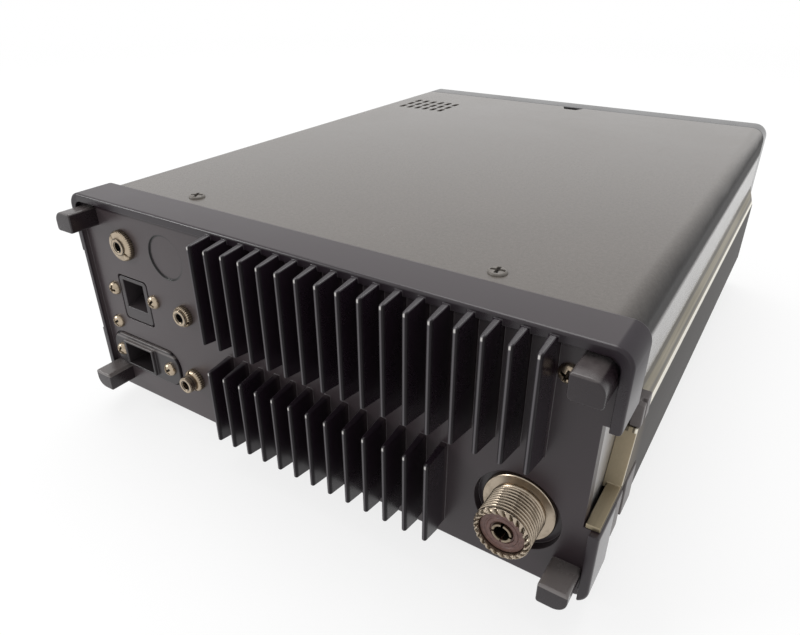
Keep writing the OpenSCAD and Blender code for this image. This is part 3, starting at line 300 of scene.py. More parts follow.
spots = read(frame["nodes"]["rear_casting"].data.vertices, "co", 3)
fin_x = np.unique(np.round(spots[spots[:, 1] > spots[:, 1].max() - 1e-6, 0], 6))
fin_x = fin_x.reshape(-1, 2).mean(axis=1)
pitch = float(np.diff(fin_x).mean())
along = (paint.x - float(fin_x[-1])) * (1 / pitch) + PITCHES_ADDED
across = paint.node("Math", {"operation": "FRACT"}, {0: along}) - 0.5
crest = paint.between(paint.y, *CREST_Y)
highlight_line = 1 - paint.between(abs(across) * (pitch / MM), *CREST_HIGHLIGHT_MM)
upper, lower = (paint.band(paint.z, *height, 0.3 * MM) for height in FIN_TOPS_Z)
# painted highlight line along each crest, and highlight spots at its upper corners
painted_light = paint.colours(*CREST_PAINTED_LIGHT, highlight_line)
painted_light = paint.colours(painted_light, CREST_CORNER_HIGHLIGHT, highlight_line * (upper + lower))
# painted shade: the ring's upper corners are darkened and dulled
corner_shade = paint.between(abs(paint.x), *RING_CORNER_X) * paint.band(paint.y, *RING_CORNER_Y, 1.5 * MM)
corner_shade = corner_shade * paint.between(paint.z, *RING_CORNER_Z)
under = paint.colours(paint.colours(*RING_CORNER_SHADE, patch), painted_light, crest)
# the matt shader carries the painted shade of the corners and the painted light of the crests
paint.over(corner_shade * 0.9 + crest * 0.92, paint.matt(under, 0.5, 0.14))
finishes["casting_paint"] = paint.material
print("fins stand at", len(fin_x), "places with a pitch of", round(pitch / MM, 2), "mm")

# %% [markdown]
# ## Paint of the covers
# The sheet covers have a warmer, lighter grey with a fine sprayed grain. Along the
# bends they are painted dull and dark as shade, in a band that narrows towards the
# front. The flat sides keep a thin coat.

# %% Paint of the covers
SPRAY = (0.075, 0.065, 0.0575), (0.140, 0.1245, 0.112)
# painted shade along the bends of the covers
COVER_BEND_SHADE = (0.012, 0.0105, 0.0105), (0.027, 0.0245, 0.024)
UPPER_BEND_Z = 70.6 * MM, 73.8 * MM
LOWER_BEND_Z = 17.2 * MM, 20.4 * MM
BEND_END_X = 94 * MM
FLAT_SIDE_X = 93.9 * MM, 94.2 * MM

paint = Finish("cover_paint", Specular_IOR_Level=0.5)
speck = paint.between(paint.grain(3600, 2, 0.6), 0.32, 0.68)
patch = paint.grain(22, 4)
scuff = paint.between(paint.grain(140, 5, 0.7, (1, 0.25, 1)), 0.62, 0.8)
cloud = paint.between(paint.grain(900, 3, 0.6), 0.3, 0.7)
out = abs(paint.x) + (paint.grain(160, 3, 0.6, (1, 0.2, 1)) - 0.5) * (1.2 * MM)
start = paint.y * -0.022 + 89.3 * MM
bends = paint.between(paint.z, *UPPER_BEND_Z) + 1 - paint.between(paint.z, *LOWER_BEND_Z)
# painted shade: a dark band along the bends, narrowing towards the front
painted_light = paint.between(out, start, BEND_END_X) ** 1.6 * bends
coarse = speck * 0.35 + patch * 0.35 + cloud * 0.3
paint.to("Base Color", paint.colours(*SPRAY, coarse))
paint.to("Roughness", 0.165 + speck * 0.05 + paint.between(patch, 0.3, 0.7) * 0.06 + scuff * 0.05)
paint.to("Coat Weight", paint.between(abs(paint.x), *FLAT_SIDE_X) * (1 - painted_light) * 0.3)
paint.relief(speck * 0.5 + cloud * 0.5, 0.016 * MM, 0.5)
paint.over(painted_light, paint.matt(paint.colours(*COVER_BEND_SHADE, cloud), 0.5, 0.06))
finishes["cover_paint"] = paint.material
print("paints:", sorted(finishes))

# %% [markdown]
# ## Moulded plastics and rubber
# Mouldings take the fine spark-eroded texture of their tool. The bezel is a dark grey,
# the knobs are black, the keys are a lighter grey, and the feet underneath are dull
# rubber. The rear feet, the rail clips, the accessory socket and the power socket each
# have a plastic of their own. Those ledges of the rear feet and the power socket that
# face up, which are known by their height, are lightened by dust together with a
# painted highlight.

# %% Plastics and rubber
def moulding(name, dark, light, gloss, grain_per_metre, depth, ledges=()):
    """Plastic whose tone, gloss and relief follow a grain; ledges are heights in mm and the amount of dust
    and painted highlight on them.
    """
    made = Finish(name, Specular_IOR_Level=0.45)
    grain = made.grain(grain_per_metre, 3)
    broad = made.grain(60, 3)
    skin = made.colours(dark, light, grain * 0.5 + broad * 0.5)
    for low, high, amount in ledges:
        # dust mixed with a painted highlight on the ledges that face up
        settled = (made.grain(500, 4) * 0.9 + 0.3) * amount
        dust_and_light = made.band(made.z, low * MM, high * MM, 0.3 * MM) * settled
        skin = made.colours(skin, (0.150, 0.134, 0.130), dust_and_light)
    made.to("Base Color", skin)
    made.to("Roughness", made.between(broad, 0.3, 0.7) * 0.1 + gloss + grain * 0.05)
    made.relief(grain, depth, 0.5)
    finishes[name] = made.material


moulding("bezel_plastic", (0.026, 0.025, 0.026), (0.044, 0.0425, 0.044), 0.15, 2400, 0.010 * MM)
moulding("black_plastic", (0.007, 0.007, 0.0075), (0.018, 0.0175, 0.018), 0.34, 2800, 0.02 * MM)
moulding("knob_plastic", (0.011, 0.011, 0.0115), (0.022, 0.0215, 0.022), 0.36, 3000, 0.015 * MM)
moulding("key_plastic", (0.070, 0.070, 0.073), (0.105, 0.105, 0.108), 0.42, 3200, 0.015 * MM)
moulding("rubber", (0.010, 0.010, 0.010), (0.024, 0.023, 0.022), 0.66, 1500, 0.04 * MM)
moulding("foot_plastic", (0.0100, 0.0062, 0.0078), (0.0210, 0.0142, 0.0172), 0.18, 1400, 0.012 * MM,
         ((80.6, 82, 0.55), (16, 18, 1.5)))
moulding("clip_plastic", (0.082, 0.071, 0.069), (0.145, 0.127, 0.124), 0.34, 1800, 0.02 * MM)
moulding("frame_plastic", (0.026, 0.0215, 0.0235), (0.046, 0.039, 0.042), 0.28, 2800, 0.02 * MM)
moulding("socket_plastic", (0.018, 0.0150, 0.0165), (0.034, 0.029, 0.031), 0.28, 2800, 0.02 * MM,
         ((29.0, 29.6, 1.2), (30.6, 31.4, 1.2)))
print("finishes with the plastics and rubber:", len(finishes))

# %% [markdown]
# ## Bare and plated metals
# The antenna socket is warm nickel, and the jack nuts and panel screws have a dull
# gold plating. A metal's colour sits in its reflection, so these are fully metallic,
# and what gives them life is roughness: fine scratches along the way the piece was
# rolled or turned, and dull spots of tarnish.

# %% Metals
def plated(name, bright, dull, gloss, scratch, stretch, spots):
    """Metal with scratches drawn out along an axis and spots of tarnish."""
    made = Finish(name, Metallic=1.0)
    lines = made.grain(scratch, 3, 0.6, stretch)
    tarnish = made.between(made.grain(spots, 4, 0.6), 0.48, 0.72)
    skin = made.colours(bright, dull, tarnish * 0.75 + lines * 0.25)
    # painted shade: recesses are darkened by their depth
    made.to("Base Color", made.colours(skin, (0.020, 0.016, 0.012), made.hollow()))
    made.to("Roughness", gloss + lines * 0.12 + tarnish * 0.18)
    made.relief(lines, 0.008 * MM, 0.5)
    finishes[name] = made.material


plated("nickel", (0.445, 0.375, 0.295), (0.29, 0.240, 0.180), 0.24, 1800, (1, 0.3, 1), 260)
plated("gilt", (0.455, 0.375, 0.280), (0.25, 0.200, 0.145), 0.22, 2200, (1, 0.4, 1), 500)
plated("chassis_metal", (0.50, 0.495, 0.50), (0.40, 0.395, 0.40), 0.36, 900, (1, 0.05, 1), 70)
plated("steel_can", (0.60, 0.60, 0.61), (0.46, 0.46, 0.47), 0.24, 1300, (0.1, 1, 1), 90)
print("finishes with the metals:", len(finishes))

# %% [markdown]
# ## Two finishes on one piece
# A side rail is bronze coloured and drawn lengthwise on its upper slope, with its neck
# lightened as painted light. Its outer face is painted dark brown as shade, lighter
# towards the rear, with a painted highlight line where the two meet. The heads of the
# cover screws carry the cover's paint, and their cross is darkened as painted shade.
# A place in the frame tells the two apart on the rail. In a recess it is a number that
# the piece itself carries at each point, so neither needs a picture.

# %% Rails and cover screws
BRONZE = (0.29, 0.25, 0.17), (0.105, 0.092, 0.060)
# painted light: a lighter bronze for the rail's neck
NECK_PAINTED_LIGHT = (0.33, 0.275, 0.190)
SEAM = (0.050, 0.043, 0.032)
# painted highlight for the rail's bend
BEND_HIGHLIGHT = (0.86, 0.82, 0.72)
# painted shade: the rail's outer face is darkened to a matt brown
OUTER_FACE_SHADE = (0.030, 0.027, 0.0255), (0.062, 0.056, 0.052)
BROWN_NECK = (0.120, 0.099, 0.074)
BARE = (0.72, 0.66, 0.54)
SLOPE_Z = 46.8 * MM, 57.5 * MM
OUTER_X = 96.84 * MM, 96.94 * MM
BEND_X = 96.45 * MM, 96.92 * MM
SEAMS_X = (95.85 * MM, 96.1 * MM), (90 * MM, 94.6 * MM)
NECK_Y = 103 * MM, 105 * MM
# the painted shade of the outer face lightens towards the rear
OUTER_LIGHTER_Y = 94 * MM, 103 * MM
NECK_FOOT_Y = 112 * MM
NECK_FOOT_Z = 31.1 * MM
NECK_LEAN = 6.8 / 16.8
BARE_OUT = -1 * MM, 0.55 * MM
BARE_Z = 33 * MM, 47.9 * MM

rail = Finish("rail_metal")
drawn = rail.grain(1500, 3, 0.6, (1, 0.012, 1))
age = rail.between(rail.grain(110, 4, 0.6, (1, 0.15, 1)), 0.35, 0.7)
out = abs(rail.x)
slope = rail.band(rail.z, *SLOPE_Z, 0.3 * MM)
# painted highlight line along the bend of the rail
bend = rail.band(out, *BEND_X, 0.1 * MM) * slope
lower, upper = (rail.band(out, *place, 0.2 * MM) * slope for place in SEAMS_X)
seam = lower + upper
bronze = rail.colours(*BRONZE, drawn * 0.8 + age * 0.3)
# painted light on the neck, towards the rear
bronze = rail.colours(bronze, NECK_PAINTED_LIGHT, rail.between(rail.y, *NECK_Y) * (0.5 + age * 0.5))
bronze = rail.colours(bronze, SEAM, seam * 0.8)
rail.to("Base Color", rail.colours(bronze, BEND_HIGHLIGHT, bend))
rail.to("Metallic", 0.92 - seam * 0.3)
rail.to("Roughness", 0.34 + drawn * 0.14 + age * 0.08 - bend * 0.12)
rail.relief(drawn, 0.012 * MM, 0.5)
# painted shade of the outer face, lighter towards the rear
outer_shade = rail.colours(*OUTER_FACE_SHADE, drawn)
outer_shade = rail.colours(outer_shade, BROWN_NECK, rail.between(rail.y, *OUTER_LIGHTER_Y) * (0.4 + age * 0.6))
lean = NECK_FOOT_Y - rail.y - (rail.z - NECK_FOOT_Z) * NECK_LEAN
bare = rail.band(lean, *BARE_OUT, 0.2 * MM) * rail.band(rail.z, *BARE_Z, 0.3 * MM)
outer_shade = rail.colours(outer_shade, BARE, bare)
rail.over(rail.between(out, *OUTER_X), rail.matt(outer_shade, 0.5, 0.1))
finishes["rail_metal"] = rail.material

screw = Finish("dark_screw", Specular_IOR_Level=0.5)
rust = screw.grain(900, 4)
head = screw.colours((0.088, 0.078, 0.068), (0.156, 0.139, 0.122), rust)
# painted shade: the cross recess is darkened by its depth
screw.to("Base Color", screw.colours(head, (0.010, 0.0085, 0.007), screw.hollow()))
screw.to("Roughness", 0.36 + rust * 0.14)
screw.relief(rust, 0.02 * MM, 0.4)
finishes["dark_screw"] = screw.material
print("finishes with the rails and screws:", len(finishes))

# %% [markdown]
# ## Insulator, boards, window and display
# The antenna's insulator is a reddish-brown phenolic resin, mottled by its filler.
# The boards are green laminate with a net of paler tracks. The window is smoked
# acrylic, which is dark but lets the display behind it show.

# %% Other finishes
resin = Finish("phenolic", Specular_IOR_Level=0.5)
mottle = resin.between(resin.grain(900, 5, 0.65), 0.3, 0.7)
resin.to("Base Color", resin.colours((0.070, 0.030, 0.025), (0.150, 0.080, 0.066), mottle))
resin.to("Roughness", 0.36 + mottle * 0.16)
resin.relief(mottle, 0.02 * MM, 0.4)
finishes["phenolic"] = resin.material

board = Finish("circuit_board", Specular_IOR_Level=0.5)
cells = {"Vector": board.place, "Scale": 420.0}
tracks = board.between(board.node("TexVoronoi", {"feature": "DISTANCE_TO_EDGE"}, cells), 0.03, 0.07)
board.to("Base Color", board.colours((0.075, 0.150, 0.070), (0.018, 0.075, 0.035), tracks))
board.to("Roughness", 0.30 + tracks * 0.12)
board.relief(1 - tracks, 0.03 * MM, 0.5)
finishes["circuit_board"] = board.material

smoked = Finish("window", Specular_IOR_Level=0.5, Alpha=0.42)
haze = smoked.grain(90, 4)
smoked.to("Base Color", smoked.colours((0.006, 0.007, 0.008), (0.014, 0.015, 0.017), haze))
smoked.to("Roughness", 0.05 + smoked.between(haze, 0.4, 0.8) * 0.07)
finishes["window"] = smoked.material

screen = Finish("display", Specular_IOR_Level=0.4)
weave = screen.grain(1800, 2)
screen.to("Base Color", screen.colours((0.120, 0.150, 0.110), (0.165, 0.195, 0.145), weave))
screen.to("Roughness", 0.30 + weave * 0.1)
finishes["display"] = screen.material

marking = Finish("marker_paint", Specular_IOR_Level=0.4)
chalk = marking.grain(2500, 3)
marking.to("Base Color", marking.colours((0.60, 0.59, 0.56), (0.76, 0.75, 0.72), chalk))
marking.to("Roughness", 0.45 + chalk * 0.1)

segment = Finish("segment_ink", Specular_IOR_Level=0.3)
ink = segment.grain(2500, 2)
segment.to("Base Color", segment.colours((0.030, 0.036, 0.030), (0.048, 0.056, 0.046), ink))
segment.to("Roughness", 0.4 + ink * 0.1)
print("finishes:", len(finishes), "for", len(record["materials"]), "slots")

# %% [markdown]
# ## Dressing the nodes
# The record gives each node a material slot, and the node takes that slot's finish.
# Four nodes in the slot of the black plastic have a look of their own.

# %% Every node takes its slot's finish
OWN = {"rear_feet": "foot_plastic", "rail_clips": "clip_plastic",
       "accessory_socket": "frame_plastic", "power_socket": "socket_plastic"}


def finish_of(node):
    """A node's finish: its slot's, apart from the nodes that have one of their own."""
    return finishes[OWN.get(node, slot_of[node])]


for name, node in frame["nodes"].items():
    node.data.materials.clear()
    node.data.materials.append(finish_of(name))
print("dressed nodes:", len(frame["nodes"]))

# %% [markdown]
# ## Rounding the edges of the solids
# No cast, moulded or folded edge is perfectly sharp, and it is the thin highlight
# along an edge that makes a dark object readable. A CAD mesh is loose triangles,
# so a copy is merged, and its flat areas are joined again. The angle between the
# two faces at an edge is worked out for the whole mesh at once, and each edge that
# turns by more than 30 degrees gets a weight, which a Bevel modifier reads as its
# share of the full radius. Normals weighted by area then keep the flats flat. The
# copy stands for its node.

# %% Helpers: pieces, edges
SHARP = math.radians(30)
FLAT = math.radians(0.6)
BY_AREA = 90


def put_in_scene(name, mesh, node, finish=None, stands_for_it=True):
    """Links a mesh as a piece on a node's body, with the finish of the node's slot if no other is given."""
    piece = bpy.data.objects.new(name, mesh)
    mesh.materials.clear()
    mesh.materials.append(finish or finish_of(node))
    bpy.context.scene.collection.objects.link(piece)
    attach(piece, rides_on[node])
    if stands_for_it:
        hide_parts(node)
    return piece


def edge_turns(mesh):
    """Angle between the two faces at each edge of a closed mesh."""
    sides = read(mesh.polygons, "loop_total", 1, int)[:, 0]
    facing = np.repeat(read(mesh.polygons, "normal", 3), sides, axis=0)
    order = np.argsort(read(mesh.loops, "edge_index", 1, int)[:, 0], kind="stable")
    pair = facing[order].reshape(-1, 2, 3)
    return np.arccos(np.clip((pair[:, 0] * pair[:, 1]).sum(axis=1), -1, 1))


def softened(node, radius, share=None, steps=2):
    """Merged copy of a node; share(middles of the edges) is each sharp edge's part of the radius."""
    work = bmesh.new()
    work.from_mesh(frame["nodes"][node].data)
    bmesh.ops.remove_doubles(work, verts=work.verts, dist=1e-6)
    bmesh.ops.dissolve_limit(work, angle_limit=FLAT, verts=work.verts, edges=work.edges)
    mesh = bpy.data.meshes.new(node + "_soft")
    work.to_mesh(mesh)
    work.free()
    mesh.polygons.foreach_set("use_smooth", np.ones(len(mesh.polygons), bool))
    weight = (edge_turns(mesh) > SHARP).astype(float)
    if share:
        middles = read(mesh.vertices, "co", 3)[read(mesh.edges, "vertices", 2, int)].mean(axis=1)
        weight = weight * share(middles / MM)
    mesh.attributes.new("bevel_weight_edge", "FLOAT", "EDGE").data.foreach_set("value", weight)
    piece = put_in_scene(node + "_soft", mesh, node)
    edge = piece.modifiers.new("edges", "BEVEL")
    edge.width = radius
    edge.segments = steps
    edge.limit_method = "WEIGHT"
    edge.use_clamp_overlap = False
    piece.modifiers.new("normals", "WEIGHTED_NORMAL").weight = BY_AREA
    return piece


# %% [markdown]
# The casting needs three radii: the outer edges of its ring are well rounded, the ends
# of its fins are less so, and all other edges are nearly sharp. The ring's outline is a
# rectangle with round corners, so the distance of a point from it is
# $d = |\max(q, 0)| + \min(\max(q_x, q_z), 0) - r$ with $q = |p| - (h - r)$, and an edge
# belongs to the outline where $d$ is nought.

# %% Soften the visible solids
RING_R = 5.0
ON_OUTLINE = 0.05
FINS_FROM = 131.5
CASTING_EDGE = 0.9
casting_low, casting_high = box_mm("rear_casting")


def ring_edges(p):
    """Full radius on the ring's outline, half of it on the fins, a quarter everywhere else."""
    half = (casting_high - casting_low)[[0, 2]] / 2
    middle = (casting_high + casting_low)[[0, 2]] / 2
    q = np.abs(p[:, [0, 2]] - middle) - (half - RING_R)
    d = np.linalg.norm(np.maximum(q, 0), axis=1) + np.minimum(q.max(axis=1), 0) - RING_R
    return np.where(np.abs(d) < ON_OUTLINE, 1.0, np.where(p[:, 1] > FINS_FROM, 0.5, 0.25))


EDGES_MM = {
    "top_cover": 0.25, "bottom_cover": 0.25, "front_bezel": 0.5,
    "left_rail": 0.3, "right_rail": 0.3, "rail_clips": 0.35,
    "rubber_feet": 0.5, "accessory_socket": 0.25, "power_socket": 0.3,
    "display_window": 0.3, "phones_jack": 0.2, "microphone_socket": 0.25,
    "microphone_insert": 0.2, "power_button": 0.35, "vfo_key": 0.35, "memory_key": 0.35,
    "scan_key": 0.35, "blanker_key": 0.35, "call_key": 0.35, "lock_key": 0.35,
    "tuning_knob": 0.3, "tuning_grip": 0.15, "volume_knob": 0.15, "squelch_ring": 0.15,
    "rit_knob": 0.15, "mode_knob": 0.15,
}
soft = {node: softened(node, radius * MM) for node, radius in EDGES_MM.items()}
soft["rear_casting"] = softened("rear_casting", CASTING_EDGE * MM, ring_edges, 3)
print("softened:", len(soft))

# %% [markdown]
# ## Surfaces from grids of points
# The small metal pieces are surfaces over a grid: a row for each step along a
# section, a column for each step round the axis. With radius $r$ and height $h$
# given for every row and column, the point is
# $(r\cos t,\; h,\; r\sin t)$. A thread, a knurl or a cross is then only a change of
# $r$ or $h$ with the angle $t$. Their places are read from the frame, solid by solid.
# Where a form has recesses, the same formula also says how deep a point lies in one,
# and the mesh keeps that number for the shader, which darkens the recesses as painted shade.

# %% Helpers: solids of a node, turned forms, meshes
def solids_of(node):
    """Boxes in mm of a node's solids: labels spread along the edges until they settle."""
    mesh = frame["nodes"][node].data
    spots = read(mesh.vertices, "co", 3) / MM
    same = np.unique(np.round(spots, 4), axis=0, return_inverse=True)[1].reshape(-1)
    one, two = same[read(mesh.edges, "vertices", 2, int)].T
    label, before = np.arange(same.max() + 1), None
    while not np.array_equal(label, before):
        before = label.copy()
        low = np.minimum(label[one], label[two])
        np.minimum.at(label, one, low)
        np.minimum.at(label, two, low)
    groups = [spots[label[same] == k] for k in np.unique(label)]
    return [(g.min(axis=0), g.max(axis=0)) for g in groups]


AXES = {"+y": (0, 2, 1, 1), "+z": (0, 1, 2, 1), "-z": (0, 1, 2, -1)}


def turned(radius, height, turn, centre, axis):
    """Points of a turned form in metres: r and h by row and column, round an axis at a centre in mm."""
    side, up, along, way = AXES[axis]
    radius, height, turn = np.broadcast_arrays(radius, height, turn)
    points = np.empty(radius.shape + (3,))
    points[..., side] = radius * np.cos(turn)
    points[..., up] = radius * np.sin(turn)
    points[..., along] = height * way
    return (points + np.array(centre)) * MM


def woven(name, grids, shut, hollow=None):
    """One mesh over equal grids: columns close on themselves, rows too if shut, else they end in poles."""
    points = np.stack(grids)
    count, rows, cols = points.shape[:3]
    first = np.arange(count)[:, None, None] * rows * cols
    r = np.arange(rows if shut else rows - 1)[None, :, None]
    c = np.arange(cols)[None, None, :]
    after, beside = (r + 1) % rows, (c + 1) % cols
    corners = [r * cols + c, r * cols + beside, after * cols + beside, after * cols + c]
    faces = np.stack([first + corner for corner in corners], axis=-1).reshape(-1, 4)
    mesh = bpy.data.meshes.new(name)
    mesh.from_pydata(points.reshape(-1, 3).tolist(), [], faces.tolist())
    if hollow is not None:
        mesh.attributes.new("hollow", "FLOAT", "POINT").data.foreach_set("value", np.ravel(hollow))
    work = bmesh.new()
    work.from_mesh(mesh)
    bmesh.ops.remove_doubles(work, verts=work.verts, dist=1e-8)
    bmesh.ops.recalc_face_normals(work, faces=work.faces)
    work.to_mesh(mesh)
    work.free()
    mesh.polygons.foreach_set("use_smooth", np.ones(len(mesh.polygons), bool))
    mesh.set_sharp_from_angle(angle=SHARP)
    return mesh


def round_about(steps):
    """Angles of the columns, once round."""
    return np.linspace(0, 2 * math.pi, steps, endpoint=False)


def inside(value, half, soft):
    """1 where a value lies within plus and minus half, 0 outside, with a ramp of this width."""
    return np.clip((half - np.abs(value)) / soft + 0.5, 0, 1)


# %% [markdown]
# ## The antenna socket
# The barrel carries a helical thread of 24 turns to the inch. With the pitch $p$, the
# place in a turn is $f = h/p - t/2\pi$, and the radius falls from the crest $R$ by the
# depth times one minus a triangle wave of $f$ with its top cut flat. The rim has
# slanting teeth: its height is lowered where the fraction of $Nt/2\pi$, shifted
# with the radius, is in the second half of a tooth.

# %% Antenna barrel
PITCH = 25.4 / 24
TEETH = 22
BARREL_R = 7.95
NECK_R = BARREL_R - 0.35
BORE_R = 6.45
GROOVE_DEEP = 0.62
TOOTH_DEEP = 0.95
SEAT = 126.2
FLANGE = 1.5
low, high = box_mm("antenna_socket")
back, tip = low[1], high[1]
flange_r = (high[0] - low[0]) / 2
antenna_axis = (low + high) / 2 * (1, 0, 1)
foot = SEAT + FLANGE

turn = round_about(264)[None, :]
h = np.linspace(foot + 0.5, tip - 0.85, 104)[:, None]
fade = np.clip((h - h[0]) / PITCH, 0, 1) * np.clip((h[-1] - h) / (0.6 * PITCH), 0, 1)
wave = np.abs(2 * ((h / PITCH - turn / (2 * math.pi)) % 1) - 1)
groove = fade * (1 - np.clip(1.45 * wave - 0.1, 0, 1))
below = np.array([(BARREL_R, back), (BARREL_R, SEAT), (flange_r - 0.2, SEAT), (flange_r, SEAT + 0.2),
                  (flange_r, foot - 0.2), (flange_r - 0.2, foot), (BARREL_R + 0.1, foot),
                  (NECK_R, foot + 0.15), (NECK_R, foot + 0.4)])
rim_r = np.array([7.86, 7.6, 7.42, 7.2, 6.95, 6.7, 6.55, BORE_R])[:, None]
rim_h = tip - np.array([0.62, 0.26, 0.06, 0, 0, 0.03, 0.1, 0.3])[:, None]
tooth = (TEETH * turn / (2 * math.pi) + (rim_r - 7.2) * 0.55) % 1
bite = np.clip((tooth - 0.42) / 0.1, 0, 1) * np.clip((1 - tooth) / 0.1, 0, 1)
bite = bite * np.array([0.15, 0.7, 1, 1, 1, 1, 0.9, 0.4])[:, None]
inner = np.array([(BORE_R, tip - 1.2), (BORE_R, back)])

wide = np.ones_like(turn)
thread = BARREL_R - GROOVE_DEEP * groove
radius = np.vstack([below[:, :1] * wide, thread, rim_r * wide, inner[:, :1] * wide])
height = np.vstack([below[:, 1:] * wide, h * wide, rim_h - TOOTH_DEEP * bite, inner[:, 1:] * wide])
# painted shade in the thread grooves, the tooth bites and the bore
recess_shade = np.vstack([0 * below[:, :1] * wide, 0.14 * groove, 0.6 * bite, 0 * inner[:, :1] * wide + 0.6])
mesh = woven("antenna_barrel", [turned(radius, height, turn, antenna_axis, "+y")], True, recess_shade)
put_in_scene("antenna_barrel", mesh, "antenna_socket")
print("antenna thread:", round((tip - foot) / PITCH, 1), "turns,", TEETH, "teeth")

# %% [markdown]
# The insulator is a ring with a shallow groove round its face. The contact is a tube
# with four slits: its end is lowered where the sine of twice the angle is near nought.

# %% Insulator and contact
BORE_DEEP = 16.6
SLIT_HALF = 0.24
turn = round_about(128)[None, :]
rear, face = (corner[1] for corner in box_mm("antenna_insulator"))
ring = np.array([(6.4, rear), (6.4, face - 0.25), (6.2, face - 0.05), (5.1, face), (4.9, face - 0.2),
                 (4.5, face - 0.2), (4.3, face), (3.5, face), (3.3, face - 0.3), (2.95, face - 0.35),
                 (2.95, rear)])
mesh = woven("antenna_disc", [turned(ring[:, :1], ring[:, 1:], turn, antenna_axis, "+y")], True)
put_in_scene("antenna_disc", mesh, "antenna_insulator")

turn = round_about(240)[None, :]
rear, end = (corner[1] for corner in box_mm("antenna_contact"))
tube = np.array([(0, end - BORE_DEEP), (2.0, end - BORE_DEEP), (2.0, end - 7), (2.0, end - 0.6),
                 (2.15, end - 0.15), (2.35, end), (2.65, end), (2.83, end - 0.12), (2.9, end - 0.4),
                 (2.9, end - 7), (2.9, rear), (0, rear)])
slit = inside(np.sin(2 * turn) / 2 * 2.4, SLIT_HALF, 0.12)
drop = slit * np.array([0, 0, 0, 4.5, 5, 5, 5, 5, 4.6, 0, 0, 0])[:, None]
# painted shade in the slits and inside the tube
recess_shade = np.maximum(slit, np.array([1, 1, 1, 0.9, 0.6, 0.35, 0.35, 0.5, 0.7, 0.7, 0.7, 0.7])[:, None])
mesh = woven("antenna_tube", [turned(tube[:, :1], tube[:, 1:] - drop, turn, antenna_axis, "+y")], False, recess_shade)
put_in_scene("antenna_tube", mesh, "antenna_contact")
print("antenna contact:", round(end - rear, 1), "mm long")

# %% [markdown]
# ## Nuts and bushings of the jacks
# Each nut has a knurled edge, where the radius falls by a cosine of the angle, a
# face that falls away a little, and a slot for a key right across it. A thin gilt
# sleeve covers the end of each jack's bushing.

# %% Nuts and sleeves
JACKS = ("speaker_jack", "key_jack", "standby_jack")
KNURLS = (44, 30, 30)
NUT_SPINS = (0.7, 0.4, 1.2)
NUT_BORE_R = 3.05
KNURL_DEEP = 0.22
SLOT_DEEP = 0.75
SLEEVE_R = 3.04
SLEEVE_BORE_R = 1.7
turn = round_about(240)[None, :]
nut_boxes = sorted(solids_of("jack_nuts"), key=lambda box: -box[1][2])
nuts, grooves, sleeves = [], [], []
for (low, high), jack, knurls, spin in zip(nut_boxes, JACKS, KNURLS, NUT_SPINS):
    x, _, z = (low + high) / 2
    r = (high[0] - low[0]) / 2
    t = high[1] - low[1]
    nut = np.array([(NUT_BORE_R, 0), (r - 0.12, 0), (r, 0.12), (r, t * 0.55), (r - 0.14, t * 0.72),
                    (r - 0.5, t * 0.88), (3.3, t), (NUT_BORE_R, t - 0.1)])
    knurl = KNURL_DEEP * (0.5 + 0.5 * np.cos(knurls * turn))
    knurl = knurl * np.array([0, 0.6, 1, 1, 0.7, 0, 0, 0])[:, None]
    slot = inside(nut[:, :1] * np.sin(turn - spin), 0.45, 0.15)
    slot = slot * np.array([0, 0, 0, 0, 0, 1, 1, 1])[:, None]
    nuts.append(turned(nut[:, :1] - knurl, nut[:, 1:] - SLOT_DEEP * slot, turn, (x, low[1], z), "+y"))
    # the knurl and slot depths go to the shader as painted shade
    grooves.append(np.clip(knurl * 2.2 + slot * 0.5, 0, 1))
    start = high[1] - 0.4
    end = box_mm(jack)[1][1] + 0.03
    step = start + (end - start) * 0.45
    sleeve = np.array([(SLEEVE_BORE_R, start), (SLEEVE_R, start), (SLEEVE_R, step), (2.85, step + 0.08),
                       (2.85, step + 0.22), (SLEEVE_R, step + 0.3), (SLEEVE_R, end - 0.25), (2.8, end),
                       (2.05, end), (SLEEVE_BORE_R, end - 0.3)])
    sleeves.append(turned(sleeve[:, :1], sleeve[:, 1:], turn, (x, 0, z), "+y"))
mesh = woven("knurled_nuts", nuts, True, grooves)
put_in_scene("knurled_nuts", mesh, "jack_nuts")
mesh = woven("jack_sleeves", sleeves, True)
put_in_scene("jack_sleeves", mesh, "speaker_jack", finishes["gilt"], False)
print("nuts and sleeves:", len(nuts), len(sleeves))

# %% [markdown]
# ## Screws with a cross recess
# A head of radius $R$ and height $H$ is $h = H\sqrt{1 - (r/R)^p}$: a domed head has
# a small $p$ and a flat one a large $p$. The cross is two crossing bars, each the
# product of two soft steps, and it is taken off the height.

# %% Panel screws and cover screws
def cross_screw(centre, axis, head, power, arm, spin, shank):
    """Grid of one screw, and its cross as values from 0 to 1.

    The head is (radius, height), the arm (half length, half width, depth), the shank (radius, length).
    """
    turn = round_about(112)[None, :]
    r = head[0] * np.sin(np.linspace(0, math.pi / 2, 34))[:, None]
    top = head[1] * np.sqrt(np.clip(1 - (r / head[0]) ** power, 0, 1))
    u, v = r * np.cos(turn - spin), r * np.sin(turn - spin)
    soft_edge = arm[1] * 0.5
    one = inside(u, arm[0], soft_edge) * inside(v, arm[1], soft_edge)
    two = inside(v, arm[0], soft_edge) * inside(u, arm[1], soft_edge)
    cross = np.maximum(one, two)
    h = top - arm[2] * cross * (1 - 0.3 * r / head[0])
    under = np.array([(shank[0], 0), (shank[0], -shank[1]), (0, -shank[1])])
    wide = np.ones_like(turn)
    radius = np.vstack([r * wide, under[:, :1] * wide])
    grid = turned(radius, np.vstack([h, under[:, 1:] * wide]), turn, centre, axis)
    return grid, np.vstack([cross, 0 * under[:, 1:] * wide])


